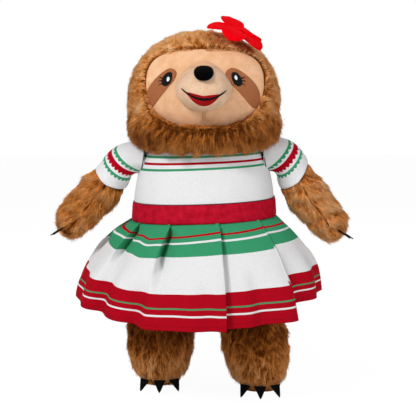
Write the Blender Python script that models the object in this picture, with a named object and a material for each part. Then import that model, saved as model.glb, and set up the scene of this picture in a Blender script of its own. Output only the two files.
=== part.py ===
"""A standing plush sloth in a pleated dress, as separate sewn pieces at real size.

Metres, +Z up. The toy faces -Y, and its own left side is at +X. The origin lies on the
floor, under the middle of the toy. Stuffed pieces are lofts through rings, cloth is a
thin shell, and what is sewn on the face follows the curve of the face under it.
"""

import math

import bmesh
import bpy
import numpy as np

# Seams and cloth
SEAM_GAP = 0.0003
CLOTH = 0.0016
BELT_CLOTH = 0.0015
SLEEVE_CLOTH = 0.0012
EMBROIDERY = 0.0006
FELT = 0.0016
OVERRUN = 0.06

# Body under the dress
NECK_HEIGHT = 0.2575
SEAT_ABOVE_HIP = 0.003
TORSO_WIDTH = 0.147
BELLY_DEPTH = 0.060
BACK_DEPTH = 0.056
TORSO_POWER = 2.2
# Height, half-width, belly depth and back depth, from the seat up to the neck.
TORSO_SHARES = (
    (0.00, 0.60, 0.42, 0.44),
    (0.03, 0.79, 0.66, 0.66),
    (0.09, 0.92, 0.83, 0.84),
    (0.20, 0.98, 0.95, 0.97),
    (0.34, 1.00, 1.00, 1.00),
    (0.56, 0.98, 0.94, 0.90),
    (0.68, 0.965, 0.88, 0.85),
    (0.80, 0.925, 0.80, 0.80),
    (0.90, 0.87, 0.74, 0.75),
    (1.00, 0.78, 0.68, 0.69),
)

# Dress
BELT_TOP = 0.205
BELT_HEIGHT = 0.0192
PLACKET_WIDTH = 0.012
PLACKET_CLOTH = 0.0010
HEM_HALF_WIDTH = 0.128
HEM_HALF_DEPTH = 0.1128
HEM_FRONT_HEIGHT = 0.086
HEM_SIDE_HEIGHT = 0.104
HEM_BACK_HEIGHT = 0.089
HEM_PLEAT_DEPTH = 0.0052
FLARE_POWER = 2.1
# Folded edges of the knife pleats, as shares of a turn from the front to the toy's left.
# Every panel overlaps the one on its left, so each step follows its folded edge.
PLEAT_SHARES = (-0.468, -0.362, -0.260, -0.160, -0.064, 0.0305, 0.131, 0.230, 0.329, 0.428)
PLEAT_STEP_SHARE = 0.020

# Head
HEAD_HEIGHT = 0.1257
HEAD_WIDTH = 0.164
HEAD_FRONT_DEPTH = 0.067
HEAD_BACK_DEPTH = 0.064
HEAD_POWER = 2.3
# Height, half-width, front depth and back depth, from the neck seam up to the crown.
HEAD_SHARES = (
    (0.000, 0.54, 0.60, 0.62),
    (0.020, 0.69, 0.74, 0.73),
    (0.060, 0.84, 0.87, 0.84),
    (0.120, 0.94, 0.95, 0.91),
    (0.215, 0.99, 0.99, 0.96),
    (0.335, 1.00, 1.00, 0.99),
    (0.480, 0.99, 0.98, 1.00),
    (0.615, 0.945, 0.94, 0.98),
    (0.738, 0.855, 0.86, 0.91),
    (0.838, 0.720, 0.73, 0.78),
    (0.905, 0.580, 0.59, 0.64),
    (0.961, 0.400, 0.42, 0.46),
    (0.992, 0.200, 0.22, 0.25),
    (1.000, 0.060, 0.07, 0.08),
)

# Face
FACE_HEIGHT_ABOVE_NECK = 0.066
FACE_WIDTH = 0.121
FACE_RISE = 0.039
FACE_DROP = 0.038
FACE_NARROWING_SHARE = 0.20
FACE_POWER = 2.6
FACE_CURVE_DEPTH = 0.058
FACE_CURVE_HALF_WIDTH = 0.080
FACE_CURVE_HALF_HEIGHT = 0.065
FACE_LEAN = 0.16
FACE_PANEL_THICKNESS = 0.0030

MUZZLE_WIDTH = 0.057
MUZZLE_RISE = 0.0255
MUZZLE_DROP = 0.0245
MUZZLE_ABOVE_FACE = 0.001
MUZZLE_LENGTH = 0.027
MUZZLE_RIM = 0.0008
MUZZLE_NARROWING_SHARE = 0.55
MUZZLE_POWER = 2.15
MUZZLE_CROWN_SHARES = (3.0, 0.55)

NOSE_WIDTH = 0.0186
NOSE_HEIGHT = 0.0147
NOSE_LENGTH = 0.0070
NOSE_ABOVE_FACE = 0.0148
NOSE_RIM = 0.0010
NOSE_SEAT_GAP = 0.0005
NOSE_POWER = 2.5
NOSE_NARROWING_SHARE = 0.16
NOSE_CROWN_SHARES = (2.4, 0.5)

EYE_PATCH_OUT = 0.0415
EYE_PATCH_ABOVE_FACE = 0.0010
EYE_PATCH_LENGTH = 0.040
EYE_PATCH_WIDTH = 0.0225
EYE_PATCH_LEAN = math.radians(32)
EYE_OUT = 0.0353
EYE_ABOVE_FACE = 0.0086
EYE_HEIGHT = 0.0128
EYE_WIDTH = 0.0100
EYE_LEAN = math.radians(16)
GLINT_OUT = 0.0345
GLINT_ABOVE_FACE = 0.0095
GLINT_HEIGHT = 0.0040
GLINT_WIDTH = 0.0026

MOUTH_WIDTH = 0.045
MOUTH_BELOW_FACE = 0.0108
SMILE_RISE = 0.0095
SMILE_THICKNESS = 0.0026
LIP_WIDTH = 0.034
UPPER_LIP_HEIGHT = 0.0031
UPPER_LIP_DIP_SHARE = 0.45
LOWER_LIP_HEIGHT = 0.0052
LIP_CORNER_HEIGHT = 0.0005

# Felt flower on the head
FLOWER_OUT = 0.033
FLOWER_FORWARD = 0.020
FLOWER_SIDE_LEAN = math.radians(21)
FLOWER_FRONT_LEAN = math.radians(15)
FLOWER_SEAT = 0.0015
PETAL_COUNT = 5
PETAL_TURN = math.radians(44)
PETAL_LENGTH = 0.0275
PETAL_WIDTH = 0.0255
PETAL_THICKNESS = 0.0034
PETAL_START = 0.0040
PETAL_LIFT_SHARE = 0.14
PETAL_DROOP_SHARE = 0.10
PETAL_BLUNTNESS = 0.22
FLOWER_CENTRE_WIDTH = 0.0115
FLOWER_CENTRE_THICKNESS = 0.0030
FLOWER_STEM_LIFT_SHARE = 0.5

# Arms
SHOULDER_BELOW_NECK = 0.015
ARMHOLE_OUT = 0.0615
SLEEVE_RADIUS = 0.0187
SHOULDER_STRAIGHT = 0.0100
SHOULDER_BEND_RADIUS = 0.0240
ARM_SLOPE = math.radians(53)
SLEEVE_BELOW_BEND = 0.0120
FOREARM_LENGTH = 0.0540
HAND_RADIUS = 0.0225
ARMHOLE_CLEARANCE = 0.0006
FOREARM_PUFF = 0.0030
# Radius of the forearm from the sleeve hem to the hand, as shares of the hand's.
FOREARM_SHARES = ((0.0, 0.90), (0.2, 0.96), (0.55, 1.02), (1.0, 1.0))
HAND_CLAW_SLOPE = math.radians(33)
HAND_CLAW_FAN = math.radians(36)
HAND_CLAW_LENGTH = 0.0120
HAND_CLAW_WIDTH = 0.0085

# Legs
HIP_HEIGHT = 0.118
HIP_OUT = 0.047
HIP_RADIUS = 0.026
HIP_CLEARANCE = 0.0007
HIP_FORWARD_SWING = 45
HIP_BACK_SWING = 20
LEG_WIDTH = 0.0714
FOOT_FRONT_DEPTH = 0.0385
FOOT_BACK_DEPTH = 0.0335
LEFT_FOOT_OUT = 0.057
RIGHT_FOOT_OUT = 0.047
STRIDE = 0.028
LEG_POWER = 2.2
THIGH_START_SHARE = 0.83
# Height of the hip, half-width, front depth and back depth, from the sole up to the hip.
LEG_SHARES = (
    (0.000, 0.56, 0.76, 0.66),
    (0.030, 0.65, 0.88, 0.78),
    (0.110, 0.74, 0.98, 0.90),
    (0.170, 0.83, 1.00, 0.95),
    (0.250, 0.92, 0.98, 0.99),
    (0.335, 0.985, 0.94, 1.00),
    (0.460, 1.00, 0.91, 1.00),
    (0.575, 0.97, 0.87, 0.97),
    (0.660, 0.87, 0.79, 0.88),
    (0.745, 0.76, 0.70, 0.80),
)
FOOT_CLAW_HEIGHT = 0.0135
FOOT_CLAW_SLOPE = math.radians(52)
FOOT_CLAW_FAN = math.radians(34)
FOOT_CLAW_LENGTH = 0.0128
FOOT_CLAW_WIDTH = 0.0106
CLAW_SEAT = 0.0007
CLAW_TIP_WIDTH = 0.0012

# Fineness of the meshes
BODY_SIDES = 36
HEAD_SIDES = 40
HEAD_RINGS = 17
LIMB_SIDES = 24
SLEEVE_RINGS = 8
RECESS_SIDES = 14
PLEAT_COLUMNS = 7
SKIRT_ROWS = 7
PANEL_SIDES = 36
SMALL_SIDES = 20
# Latitudes, in degrees, of the rings over a rounded end.
CAP_ANGLES = (18, 36, 54, 70, 83)
# Rings of a sewn-on pad from its middle to its rim, as shares: domed, curved or flat.
DOME_STEP_SHARES = (0.03, 0.22, 0.42, 0.60, 0.76, 0.88, 0.96, 1.0)
CURVED_STEP_SHARES = (0.04, 0.30, 0.55, 0.80, 1.0)
FLAT_STEP_SHARES = (0.1, 0.6, 1.0)

SIDES = (("left", 1), ("right", -1))


def material(name, colour, roughness):
    """A plain Principled finish; colour is sRGB hex, turned to linear."""
    made = bpy.data.materials.new(name)
    made.use_nodes = True
    shader = made.node_tree.nodes["Principled BSDF"]
    parts = [int(colour[i : i + 2], 16) / 255 for i in (1, 3, 5)]
    linear = [((c + 0.055) / 1.055) ** 2.4 if c > 0.04045 else c / 12.92 for c in parts]
    shader.inputs["Base Color"].default_value = (*linear, 1)
    shader.inputs["Roughness"].default_value = roughness
    shader.inputs["Metallic"].default_value = 0
    return made


def new_object(name, bm, finish, origin=(0, 0, 0)):
    """One closed mesh object, smooth shaded, with its origin at the given world point."""
    bmesh.ops.recalc_face_normals(bm, faces=bm.faces)
    bmesh.ops.translate(bm, verts=bm.verts, vec=[-c for c in origin])
    mesh = bpy.data.meshes.new(name)
    bm.to_mesh(mesh)
    bm.free()
    mesh.shade_smooth()
    mesh.set_sharp_from_angle(angle=math.radians(50))
    obj = bpy.data.objects.new(name, mesh)
    obj.location = origin
    if finish:
        mesh.materials.append(finish)
    bpy.context.collection.objects.link(obj)
    return obj


def loft(rings, closed=False):
    """A skin over rings of equal count. The two end rings are capped flat, or, where the
    row of rings is closed, the last is joined to the first, which makes a thin shell."""
    bm = bmesh.new()
    rows = [[bm.verts.new(point) for point in ring] for ring in rings]
    pairs = list(zip(rows, rows[1:]))
    if closed:
        pairs.append((rows[-1], rows[0]))
    for low, high in pairs:
        for i in range(len(low)):
            j = (i + 1) % len(low)
            bm.faces.new((low[i], low[j], high[j], high[i]))
    if not closed:
        bm.faces.new(rows[0][::-1])
        bm.faces.new(rows[-1])
    return bm


def table(shares, at):
    """Columns of a table of shares, read at the given first-column values on a smooth curve
    (cubic Hermite, with the slope at each row taken from its two neighbours)."""
    rows = np.array(shares, float)
    x, y = rows[:, 0], rows[:, 1:]
    slope = np.gradient(y, x, axis=0)
    at = np.clip(np.atleast_1d(np.asarray(at, float)), x[0], x[-1])
    i = np.clip(np.searchsorted(x, at, side="right") - 1, 0, len(x) - 2)
    step = (x[i + 1] - x[i])[:, None]
    t = ((at - x[i]) / (x[i + 1] - x[i]))[:, None]
    return (
        (2 * t**3 - 3 * t**2 + 1) * y[i]
        + (t**3 - 2 * t**2 + t) * step * slope[i]
        + (3 * t**2 - 2 * t**3) * y[i + 1]
        + (t**3 - t**2) * step * slope[i + 1]
    )


def ring(sides, half_width, front, back, power):
    """Points (x, y) of a rounded oblong, deeper or flatter in front (-Y) than behind."""
    turn = np.linspace(0, 2 * math.pi, sides, endpoint=False)
    c, s = np.cos(turn), np.sin(turn)
    x = half_width * np.sign(c) * np.abs(c) ** (2 / power)
    y = np.where(s < 0, front, back) * np.sign(s) * np.abs(s) ** (2 / power)
    return np.column_stack([x, y])


def level(points, height, centre=(0, 0)):
    """Flat points lifted to a height, about a centre."""
    return [(x + centre[0], y + centre[1], height) for x, y in points]


def cut(target, cutter_mesh, name):
    """Takes a shape out of an object, with the cutter kept as a hidden guide."""
    cutter = new_object(name, cutter_mesh, None)
    cutter.hide_render = True
    cutter.display_type = "WIRE"
    boolean = target.modifiers.new(name, "BOOLEAN")
    boolean.operation = "DIFFERENCE"
    boolean.object = cutter


# Body and dress


def seat_height():
    return HIP_HEIGHT + SEAT_ABOVE_HIP


def shoulder_height():
    return NECK_HEIGHT - SHOULDER_BELOW_NECK


def hip_lean():
    """How far the middle line of a leg leans from the vertical, as one foot stands forward."""
    return math.atan2(STRIDE / 2, HIP_HEIGHT)


def torso_size(height, outset=0.0):
    """Half-width, belly depth and back depth of the body at a height, grown by outset."""
    share = (height - seat_height()) / (NECK_HEIGHT - seat_height())
    w, f, b = table(TORSO_SHARES, share)[0]
    return (
        w * TORSO_WIDTH / 2 + outset,
        f * BELLY_DEPTH + outset,
        b * BACK_DEPTH + outset,
    )


def torso_ring(height, outset=0.0):
    return level(ring(BODY_SIDES, *torso_size(height, outset), TORSO_POWER), height)


def band(low, high, rows, inner, outer):
    """A shell round the body between two heights."""
    heights = np.linspace(low, high, rows)
    return loft(
        [torso_ring(h, outer) for h in heights]
        + [torso_ring(h, inner) for h in heights[::-1]],
        closed=True,
    )


def shoulder_recess(side):
    """The round armhole, along X, in which the arm and the sleeve end are seated."""
    radius = SLEEVE_RADIUS + ARMHOLE_CLEARANCE
    turn = np.linspace(0, 2 * math.pi, LIMB_SIDES, endpoint=False)
    return loft(
        [
            [
                (side * x, radius * math.cos(a), shoulder_height() + radius * math.sin(a))
                for a in turn
            ]
            for x in (ARMHOLE_OUT - SEAM_GAP, ARMHOLE_OUT + OVERRUN)
        ]
    )


def hip_recess(side):
    """The space under the body that a thigh needs from its rearmost to its foremost swing:
    slices across X, each a round top about the hip's axis with two straight sides."""
    radius = HIP_RADIUS + HIP_CLEARANCE
    fore = math.radians(HIP_FORWARD_SWING) + hip_lean()
    aft = math.radians(HIP_BACK_SWING) + hip_lean()
    slices = []
    for across in np.linspace(-0.5 * math.pi, 0.5 * math.pi, RECESS_SIDES + 2)[1:-1]:
        x = side * HIP_OUT + radius * math.sin(across)
        half = radius * math.cos(across)
        turns = np.linspace(math.pi - fore, aft, RECESS_SIDES)
        arc = [
            (x, half * math.cos(a), HIP_HEIGHT + half * math.sin(a)) for a in turns
        ]
        front = (
            x,
            -half * math.cos(fore) - OVERRUN * math.sin(fore),
            HIP_HEIGHT + half * math.sin(fore) - OVERRUN * math.cos(fore),
        )
        back = (
            x,
            half * math.cos(aft) + OVERRUN * math.sin(aft),
            HIP_HEIGHT + half * math.sin(aft) - OVERRUN * math.cos(aft),
        )
        slices.append([front, *arc, back])
    return loft(slices)


def make_body_and_dress():
    rows = np.array(TORSO_SHARES)[:, 0]
    heights = seat_height() + (NECK_HEIGHT - seat_height()) * rows
    torso = new_object(
        "torso_plush", loft([torso_ring(h) for h in heights]), BROWN_FUR
    )
    bodice_in = SEAM_GAP
    bodice_out = bodice_in + CLOTH
    belt_in = bodice_out + SEAM_GAP
    belt_out = belt_in + BELT_CLOTH
    belt_bottom = BELT_TOP - BELT_HEIGHT
    bodice = new_object(
        "bodice",
        band(belt_bottom + SEAM_GAP, NECK_HEIGHT, 6, bodice_in, bodice_out),
        WHITE_CLOTH,
    )
    new_object(
        "belt_band", band(belt_bottom, BELT_TOP, 3, belt_in, belt_out), RED_CLOTH
    )
    for name, side in SIDES:
        cut(torso, shoulder_recess(side), f"guide_torso_armhole_{name}")
        cut(bodice, shoulder_recess(side), f"guide_bodice_armhole_{name}")
        cut(torso, hip_recess(side), f"guide_hip_{name}")
    make_skirt(belt_bottom - SEAM_GAP, belt_out)
    make_placket(bodice_out + SEAM_GAP)


def pleat_wave(turn_share):
    """+1 on a pleat's folded edge, -1 in the step beside it, and a slow rise to the next."""
    folds = np.array(PLEAT_SHARES)
    at = np.concatenate([folds, folds + PLEAT_STEP_SHARE])
    return np.interp(turn_share, at, np.repeat([1.0, -1.0], len(folds)), period=1)


def skirt_point(turn_share, drop, waist_height, waist_outset, inset):
    """A point of the flared skirt. drop runs from 0 at the waist to 1 at the hem."""
    angle = 2 * math.pi * turn_share
    w, f, b = torso_size(waist_height, waist_outset)
    waist_depth = f if math.cos(angle) > 0 else b
    flare = 1 - (1 - drop) ** FLARE_POWER
    half_width = w + (HEM_HALF_WIDTH - w) * flare
    half_depth = waist_depth + (HEM_HALF_DEPTH - waist_depth) * flare
    waist_pleat = (waist_outset - CLOTH) / 2 - SEAM_GAP
    pleat = waist_pleat + (HEM_PLEAT_DEPTH - waist_pleat) * drop
    grow = pleat * (float(pleat_wave(turn_share)) - 1 + drop) - inset
    hem_end = HEM_FRONT_HEIGHT if math.cos(angle) > 0 else HEM_BACK_HEIGHT
    hem = HEM_SIDE_HEIGHT + (hem_end - HEM_SIDE_HEIGHT) * math.cos(angle) ** 2
    s, c = math.sin(angle), math.cos(angle)
    x = (half_width + grow) * math.copysign(abs(s) ** (2 / TORSO_POWER), s)
    y = -(half_depth + grow) * math.copysign(abs(c) ** (2 / TORSO_POWER), c)
    return x, y, waist_height + (hem - waist_height) * drop


def make_skirt(waist_height, waist_outset):
    folds = np.append(PLEAT_SHARES, PLEAT_SHARES[0] + 1)
    turns = np.linspace(folds[:-1] + PLEAT_STEP_SHARE, folds[1:], PLEAT_COLUMNS).T.ravel()
    drops = np.linspace(0, 1, SKIRT_ROWS) ** 0.8

    def sheet(inset):
        return [
            [skirt_point(t, d, waist_height, waist_outset, inset) for t in turns]
            for d in drops
        ]

    new_object("skirt", loft(sheet(0) + sheet(CLOTH)[::-1], closed=True), SKIRT_CLOTH)


def make_placket(outset):
    """The overlapped back opening of the dress: a doubled strip down the middle of the back."""

    def back(x, height, grown):
        w, _, b = torso_size(height, outset + grown)
        return b * (1 - (abs(x) / w) ** TORSO_POWER) ** (1 / TORSO_POWER)

    xs = np.linspace(-PLACKET_WIDTH / 2, PLACKET_WIDTH / 2, 4)
    rings = []
    for height in np.linspace(BELT_TOP + CLOTH, NECK_HEIGHT - CLOTH, 8):
        near = [(x, back(x, height, 0), height) for x in xs]
        far = [(x, back(x, height, PLACKET_CLOTH), height) for x in xs[::-1]]
        rings.append(near + far)
    new_object("back_placket", loft(rings), WHITE_CLOTH)


# Head and face


def head_size(height):
    """Half-width, front depth and back depth of the head at a height above the neck seam."""
    w, f, b = table(HEAD_SHARES, height / HEAD_HEIGHT)[0]
    return w * HEAD_WIDTH / 2, f * HEAD_FRONT_DEPTH, b * HEAD_BACK_DEPTH


def head_base():
    return NECK_HEIGHT + SEAM_GAP


def crown_height(x, y):
    """Height of the head's upper surface over a point, found where its ring passes there."""
    heights = np.linspace(HEAD_HEIGHT / 2, HEAD_HEIGHT, 400)
    sizes = [head_size(h) for h in heights]
    reach = [
        (abs(x) / w) ** HEAD_POWER + (abs(y) / (f if y < 0 else b)) ** HEAD_POWER
        for w, f, b in sizes
    ]
    return head_base() + float(np.interp(1, reach, heights))


def face_middle():
    return head_base() + FACE_HEIGHT_ABOVE_NECK


def face_y(x, z):
    """The face's front: part of an ellipsoid, leaned so that the chin comes forward."""
    up = np.asarray(z) - face_middle()
    inside = (
        1
        - (np.asarray(x) / FACE_CURVE_HALF_WIDTH) ** 2
        - (up / FACE_CURVE_HALF_HEIGHT) ** 2
    )
    return -FACE_CURVE_DEPTH * np.sqrt(np.maximum(inside, 0)) + FACE_LEAN * up


def oval(sides, width, rise, drop, power, narrowing=0.0, toward=1):
    """An outline (x, z): a rounded oblong that narrows by a share toward its top (toward=1)
    or its bottom (toward=-1)."""
    turn = np.linspace(0, 2 * math.pi, sides, endpoint=False)
    c, s = np.cos(turn), np.sin(turn)
    up = np.sign(s) * np.abs(s) ** (2 / power)
    x = width / 2 * np.sign(c) * np.abs(c) ** (2 / power)
    x = x * (1 - narrowing * np.maximum(0, toward * up))
    return np.column_stack([x, up * np.where(s > 0, rise, drop)])


def turned(points, angle, centre):
    """Outline points turned clockwise by an angle, about their middle, and moved."""
    c, s = math.cos(angle), math.sin(angle)
    x, z = points[:, 0], points[:, 1]
    return np.column_stack([x * c + z * s + centre[0], z * c - x * s + centre[1]])


def share_out(x, z, centre, outline):
    """How far a point lies from the centre, as a share of the way to the outline there."""
    dx, dz = np.asarray(x) - centre[0], np.asarray(z) - centre[1]
    edge = outline - np.array(centre)
    order = np.argsort(np.arctan2(edge[:, 1], edge[:, 0]))
    reach = np.interp(
        np.arctan2(dz, dx),
        np.arctan2(edge[:, 1], edge[:, 0])[order],
        np.hypot(edge[:, 0], edge[:, 1])[order],
        period=2 * math.pi,
    )
    return np.hypot(dx, dz) / reach


def patch(outline, centre, front, front_shares, back, back_shares):
    """A closed pad inside an outline: rings from the middle out over front(x, z) and back in
    over back(x, z), which give Y."""
    middle = np.array(centre)
    rings = []
    for surface, shares in ((front, front_shares), (back, back_shares[::-1])):
        for share in shares:
            points = middle + (outline - middle) * share
            y = surface(points[:, 0], points[:, 1])
            rings.append(list(zip(points[:, 0], y, points[:, 1])))
    return loft(rings)


def strip(xs, low, high, front, back):
    """A closed pad between two curves, low and high (z), over the places xs."""
    rings = []
    for x, z0, z1 in zip(xs, low, high):
        zs = np.linspace(z0, z1, 3)
        at = np.full(3, x)
        near = list(zip(at, front(at, zs), zs))
        far = list(zip(at, back(at, zs), zs))
        rings.append(near + far[::-1])
    return loft(rings)


def face_outline(grow=0.0):
    points = oval(
        PANEL_SIDES,
        FACE_WIDTH + 2 * grow,
        FACE_RISE + grow,
        FACE_DROP + grow,
        FACE_POWER,
        FACE_NARROWING_SHARE,
        toward=-1,
    )
    return points + (0, face_middle())


def muzzle_middle():
    return (0.0, face_middle() + MUZZLE_ABOVE_FACE)


def muzzle_outline():
    points = oval(
        PANEL_SIDES,
        MUZZLE_WIDTH,
        MUZZLE_RISE,
        MUZZLE_DROP,
        MUZZLE_POWER,
        MUZZLE_NARROWING_SHARE,
    )
    return points + muzzle_middle()


def crown(share, crown_shares):
    """Height share of a stuffed dome: full in the middle, round at its rim."""
    flatness, roundness = crown_shares
    return np.maximum(0, 1 - np.minimum(share, 1) ** flatness) ** roundness


def muzzle_y(x, z):
    share = share_out(x, z, muzzle_middle(), muzzle_outline())
    return (
        face_y(x, z)
        - SEAM_GAP
        - MUZZLE_RIM
        - MUZZLE_LENGTH * crown(share, MUZZLE_CROWN_SHARES)
    )


def raised(surface, height):
    """The same surface, brought forward by a height."""
    return lambda x, z: surface(x, z) - height


def make_head():
    base = head_base()
    rows = np.array(HEAD_SHARES)[:, 0]
    shares = np.interp(
        np.linspace(0, 1, HEAD_RINGS), np.linspace(0, 1, len(rows)), rows
    )
    rings = [
        level(
            ring(HEAD_SIDES, *head_size(share * HEAD_HEIGHT), HEAD_POWER),
            base + share * HEAD_HEIGHT,
        )
        for share in shares
    ]
    head = new_object("head_plush", loft(rings), BROWN_FUR)
    panel_back = raised(face_y, -FACE_PANEL_THICKNESS)
    far_front = lambda x, z: np.full(np.shape(x), -HEAD_FRONT_DEPTH - OVERRUN)
    middle = (0, face_middle())
    cut(
        head,
        patch(
            face_outline(SEAM_GAP),
            middle,
            far_front,
            FLAT_STEP_SHARES,
            raised(panel_back, -SEAM_GAP),
            CURVED_STEP_SHARES,
        ),
        "guide_face_opening",
    )
    new_object(
        "face_panel",
        patch(
            face_outline(),
            middle,
            face_y,
            CURVED_STEP_SHARES,
            panel_back,
            CURVED_STEP_SHARES,
        ),
        PEACH_PLUSH,
    )


def make_face():
    on_face = raised(face_y, SEAM_GAP)
    new_object(
        "muzzle",
        patch(
            muzzle_outline(),
            muzzle_middle(),
            muzzle_y,
            DOME_STEP_SHARES,
            on_face,
            CURVED_STEP_SHARES,
        ),
        CREAM_PLUSH,
    )
    nose_middle = (0.0, face_middle() + NOSE_ABOVE_FACE)
    nose = oval(
        SMALL_SIDES,
        NOSE_WIDTH,
        NOSE_HEIGHT / 2,
        NOSE_HEIGHT / 2,
        NOSE_POWER,
        NOSE_NARROWING_SHARE,
        toward=-1,
    ) + np.array(nose_middle)
    nose_seat = raised(muzzle_y, NOSE_SEAT_GAP)

    def nose_y(x, z):
        share = share_out(x, z, nose_middle, nose)
        return (
            nose_seat(x, z) - NOSE_RIM - NOSE_LENGTH * crown(share, NOSE_CROWN_SHARES)
        )

    new_object(
        "nose",
        patch(
            nose, nose_middle, nose_y, DOME_STEP_SHARES, nose_seat, CURVED_STEP_SHARES
        ),
        BLACK_PLUSH,
    )
    make_eyes(on_face)
    make_mouth(raised(muzzle_y, SEAM_GAP))


def make_eyes(on_face):
    on_patch = raised(on_face, EMBROIDERY + SEAM_GAP)
    on_eye = raised(on_patch, EMBROIDERY + SEAM_GAP)
    pads = (
        (
            "eye_patch",
            (EYE_PATCH_OUT, EYE_PATCH_ABOVE_FACE),
            (EYE_PATCH_WIDTH, EYE_PATCH_LENGTH / 2, EYE_PATCH_LENGTH / 2),
            -EYE_PATCH_LEAN,
            on_face,
            BROWN_THREAD,
        ),
        (
            "eye",
            (EYE_OUT, EYE_ABOVE_FACE),
            (EYE_WIDTH, EYE_HEIGHT / 2, EYE_HEIGHT / 2),
            -EYE_LEAN,
            on_patch,
            BLACK_THREAD,
        ),
        (
            "eye_glint",
            (GLINT_OUT, GLINT_ABOVE_FACE),
            (GLINT_WIDTH, GLINT_HEIGHT / 2, GLINT_HEIGHT / 2),
            EYE_LEAN,
            on_eye,
            WHITE_THREAD,
        ),
    )
    for name, (out, above), size, lean, under, finish in pads:
        for side_name, side in SIDES:
            centre = (side * out, face_middle() + above)
            outline = turned(oval(SMALL_SIDES, *size, 2.0), side * lean, centre)
            new_object(
                f"{name}_{side_name}",
                patch(
                    outline,
                    centre,
                    raised(under, EMBROIDERY),
                    FLAT_STEP_SHARES,
                    under,
                    FLAT_STEP_SHARES,
                ),
                finish,
            )


def smile_z(x):
    """The middle of the smile line, a parabola through the corners of the mouth."""
    return (
        face_middle() - MOUTH_BELOW_FACE + SMILE_RISE * (2 * np.abs(x) / MOUTH_WIDTH) ** 2
    )


def make_mouth(on_muzzle):
    front = raised(on_muzzle, EMBROIDERY)
    xs = np.linspace(-MOUTH_WIDTH / 2, MOUTH_WIDTH / 2, 17)
    fullness = np.sqrt(1 - (2 * xs / MOUTH_WIDTH) ** 2)
    half = LIP_CORNER_HEIGHT / 2 + (SMILE_THICKNESS - LIP_CORNER_HEIGHT) / 2 * fullness
    new_object(
        "smile_line",
        strip(xs, smile_z(xs) - half, smile_z(xs) + half, front, on_muzzle),
        BLACK_THREAD,
    )
    xs = np.linspace(-LIP_WIDTH / 2, LIP_WIDTH / 2, 15)
    at = 2 * xs / LIP_WIDTH
    edge = SMILE_THICKNESS / 2 + SEAM_GAP
    bow = (1 - at**2) * (1 - UPPER_LIP_DIP_SHARE * np.exp(-((at / 0.22) ** 2)))
    low = smile_z(xs) + edge
    new_object(
        "lip_upper",
        strip(
            xs, low, low + LIP_CORNER_HEIGHT + UPPER_LIP_HEIGHT * bow, front, on_muzzle
        ),
        RED_THREAD,
    )
    high = smile_z(xs) - edge
    new_object(
        "lip_lower",
        strip(
            xs,
            high - LIP_CORNER_HEIGHT - LOWER_LIP_HEIGHT * (1 - at**2),
            high,
            front,
            on_muzzle,
        ),
        RED_THREAD,
    )


def flower_frame():
    """The flower's seat on the crown and its two flat directions and its normal."""
    seat = np.array(
        [FLOWER_OUT, -FLOWER_FORWARD, crown_height(FLOWER_OUT, -FLOWER_FORWARD)]
    )
    normal = np.array([math.tan(FLOWER_SIDE_LEAN), -math.tan(FLOWER_FRONT_LEAN), 1.0])
    normal /= np.linalg.norm(normal)
    along = np.cross([0, 1, 0], normal)
    along /= np.linalg.norm(along)
    return seat + normal * (FLOWER_SEAT + PETAL_THICKNESS / 2), along, normal


def petal_thickness(u):
    """Thickness of a petal along its length: full in the middle, thinner at both ends."""
    return PETAL_THICKNESS * (0.55 + 0.45 * math.sqrt(max(0, math.sin(math.pi * u))))


def petal_lift(u):
    """Rise of a petal over the flower's plane: up at first, then drooping to its tip."""
    return PETAL_LENGTH * (PETAL_LIFT_SHARE * u - PETAL_DROOP_SHARE * u * u)


def make_flower():
    seat, along, normal = flower_frame()
    across = np.cross(normal, along)
    sector = math.tan(math.pi / PETAL_COUNT)
    for number in range(PETAL_COUNT):
        turn = PETAL_TURN + 2 * math.pi * number / PETAL_COUNT
        out = along * math.cos(turn) + across * math.sin(turn)
        side = np.cross(normal, out)
        rings = []
        for u in (0.0, 0.12, 0.26, 0.42, 0.58, 0.74, 0.88, 0.965, 1.0):
            reach = PETAL_START + u * PETAL_LENGTH
            full = PETAL_WIDTH / 2 * max(PETAL_BLUNTNESS, math.sin(math.pi * u**1.35) ** 0.6)
            half = min(full, sector * reach - SEAM_GAP)
            middle = seat + out * reach + normal * petal_lift(u)
            turns = np.linspace(0, 2 * math.pi, 10, endpoint=False)
            thick = petal_thickness(u) / 2
            rings.append(
                [
                    middle + side * half * math.cos(a) + normal * thick * math.sin(a)
                    for a in turns
                ]
            )
        new_object(f"flower_petal_{number + 1}", loft(rings), RED_FELT)
    cap = FLOWER_CENTRE_WIDTH / 2
    rim = (cap - PETAL_START) / PETAL_LENGTH
    on_petals = petal_lift(rim) + petal_thickness(rim) / 2 + SEAM_GAP
    on_head = -PETAL_THICKNESS / 2 - FLOWER_SEAT * (1 - FLOWER_STEM_LIFT_SHARE)
    stem = PETAL_START - SEAM_GAP
    rings = []
    for radius, rise in (
        (stem, on_head),
        (stem, on_petals),
        (cap, on_petals),
        (cap, on_petals + 0.45 * FLOWER_CENTRE_THICKNESS),
        (cap * 0.8, on_petals + 0.8 * FLOWER_CENTRE_THICKNESS),
        (cap * 0.35, on_petals + FLOWER_CENTRE_THICKNESS),
    ):
        centre = seat + normal * rise
        rings.append(
            [
                centre + radius * (along * math.cos(a) + across * math.sin(a))
                for a in np.linspace(0, 2 * math.pi, SMALL_SIDES, endpoint=False)
            ]
        )
    new_object("flower_centre", loft(rings), RED_FELT)


# Limbs


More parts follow.
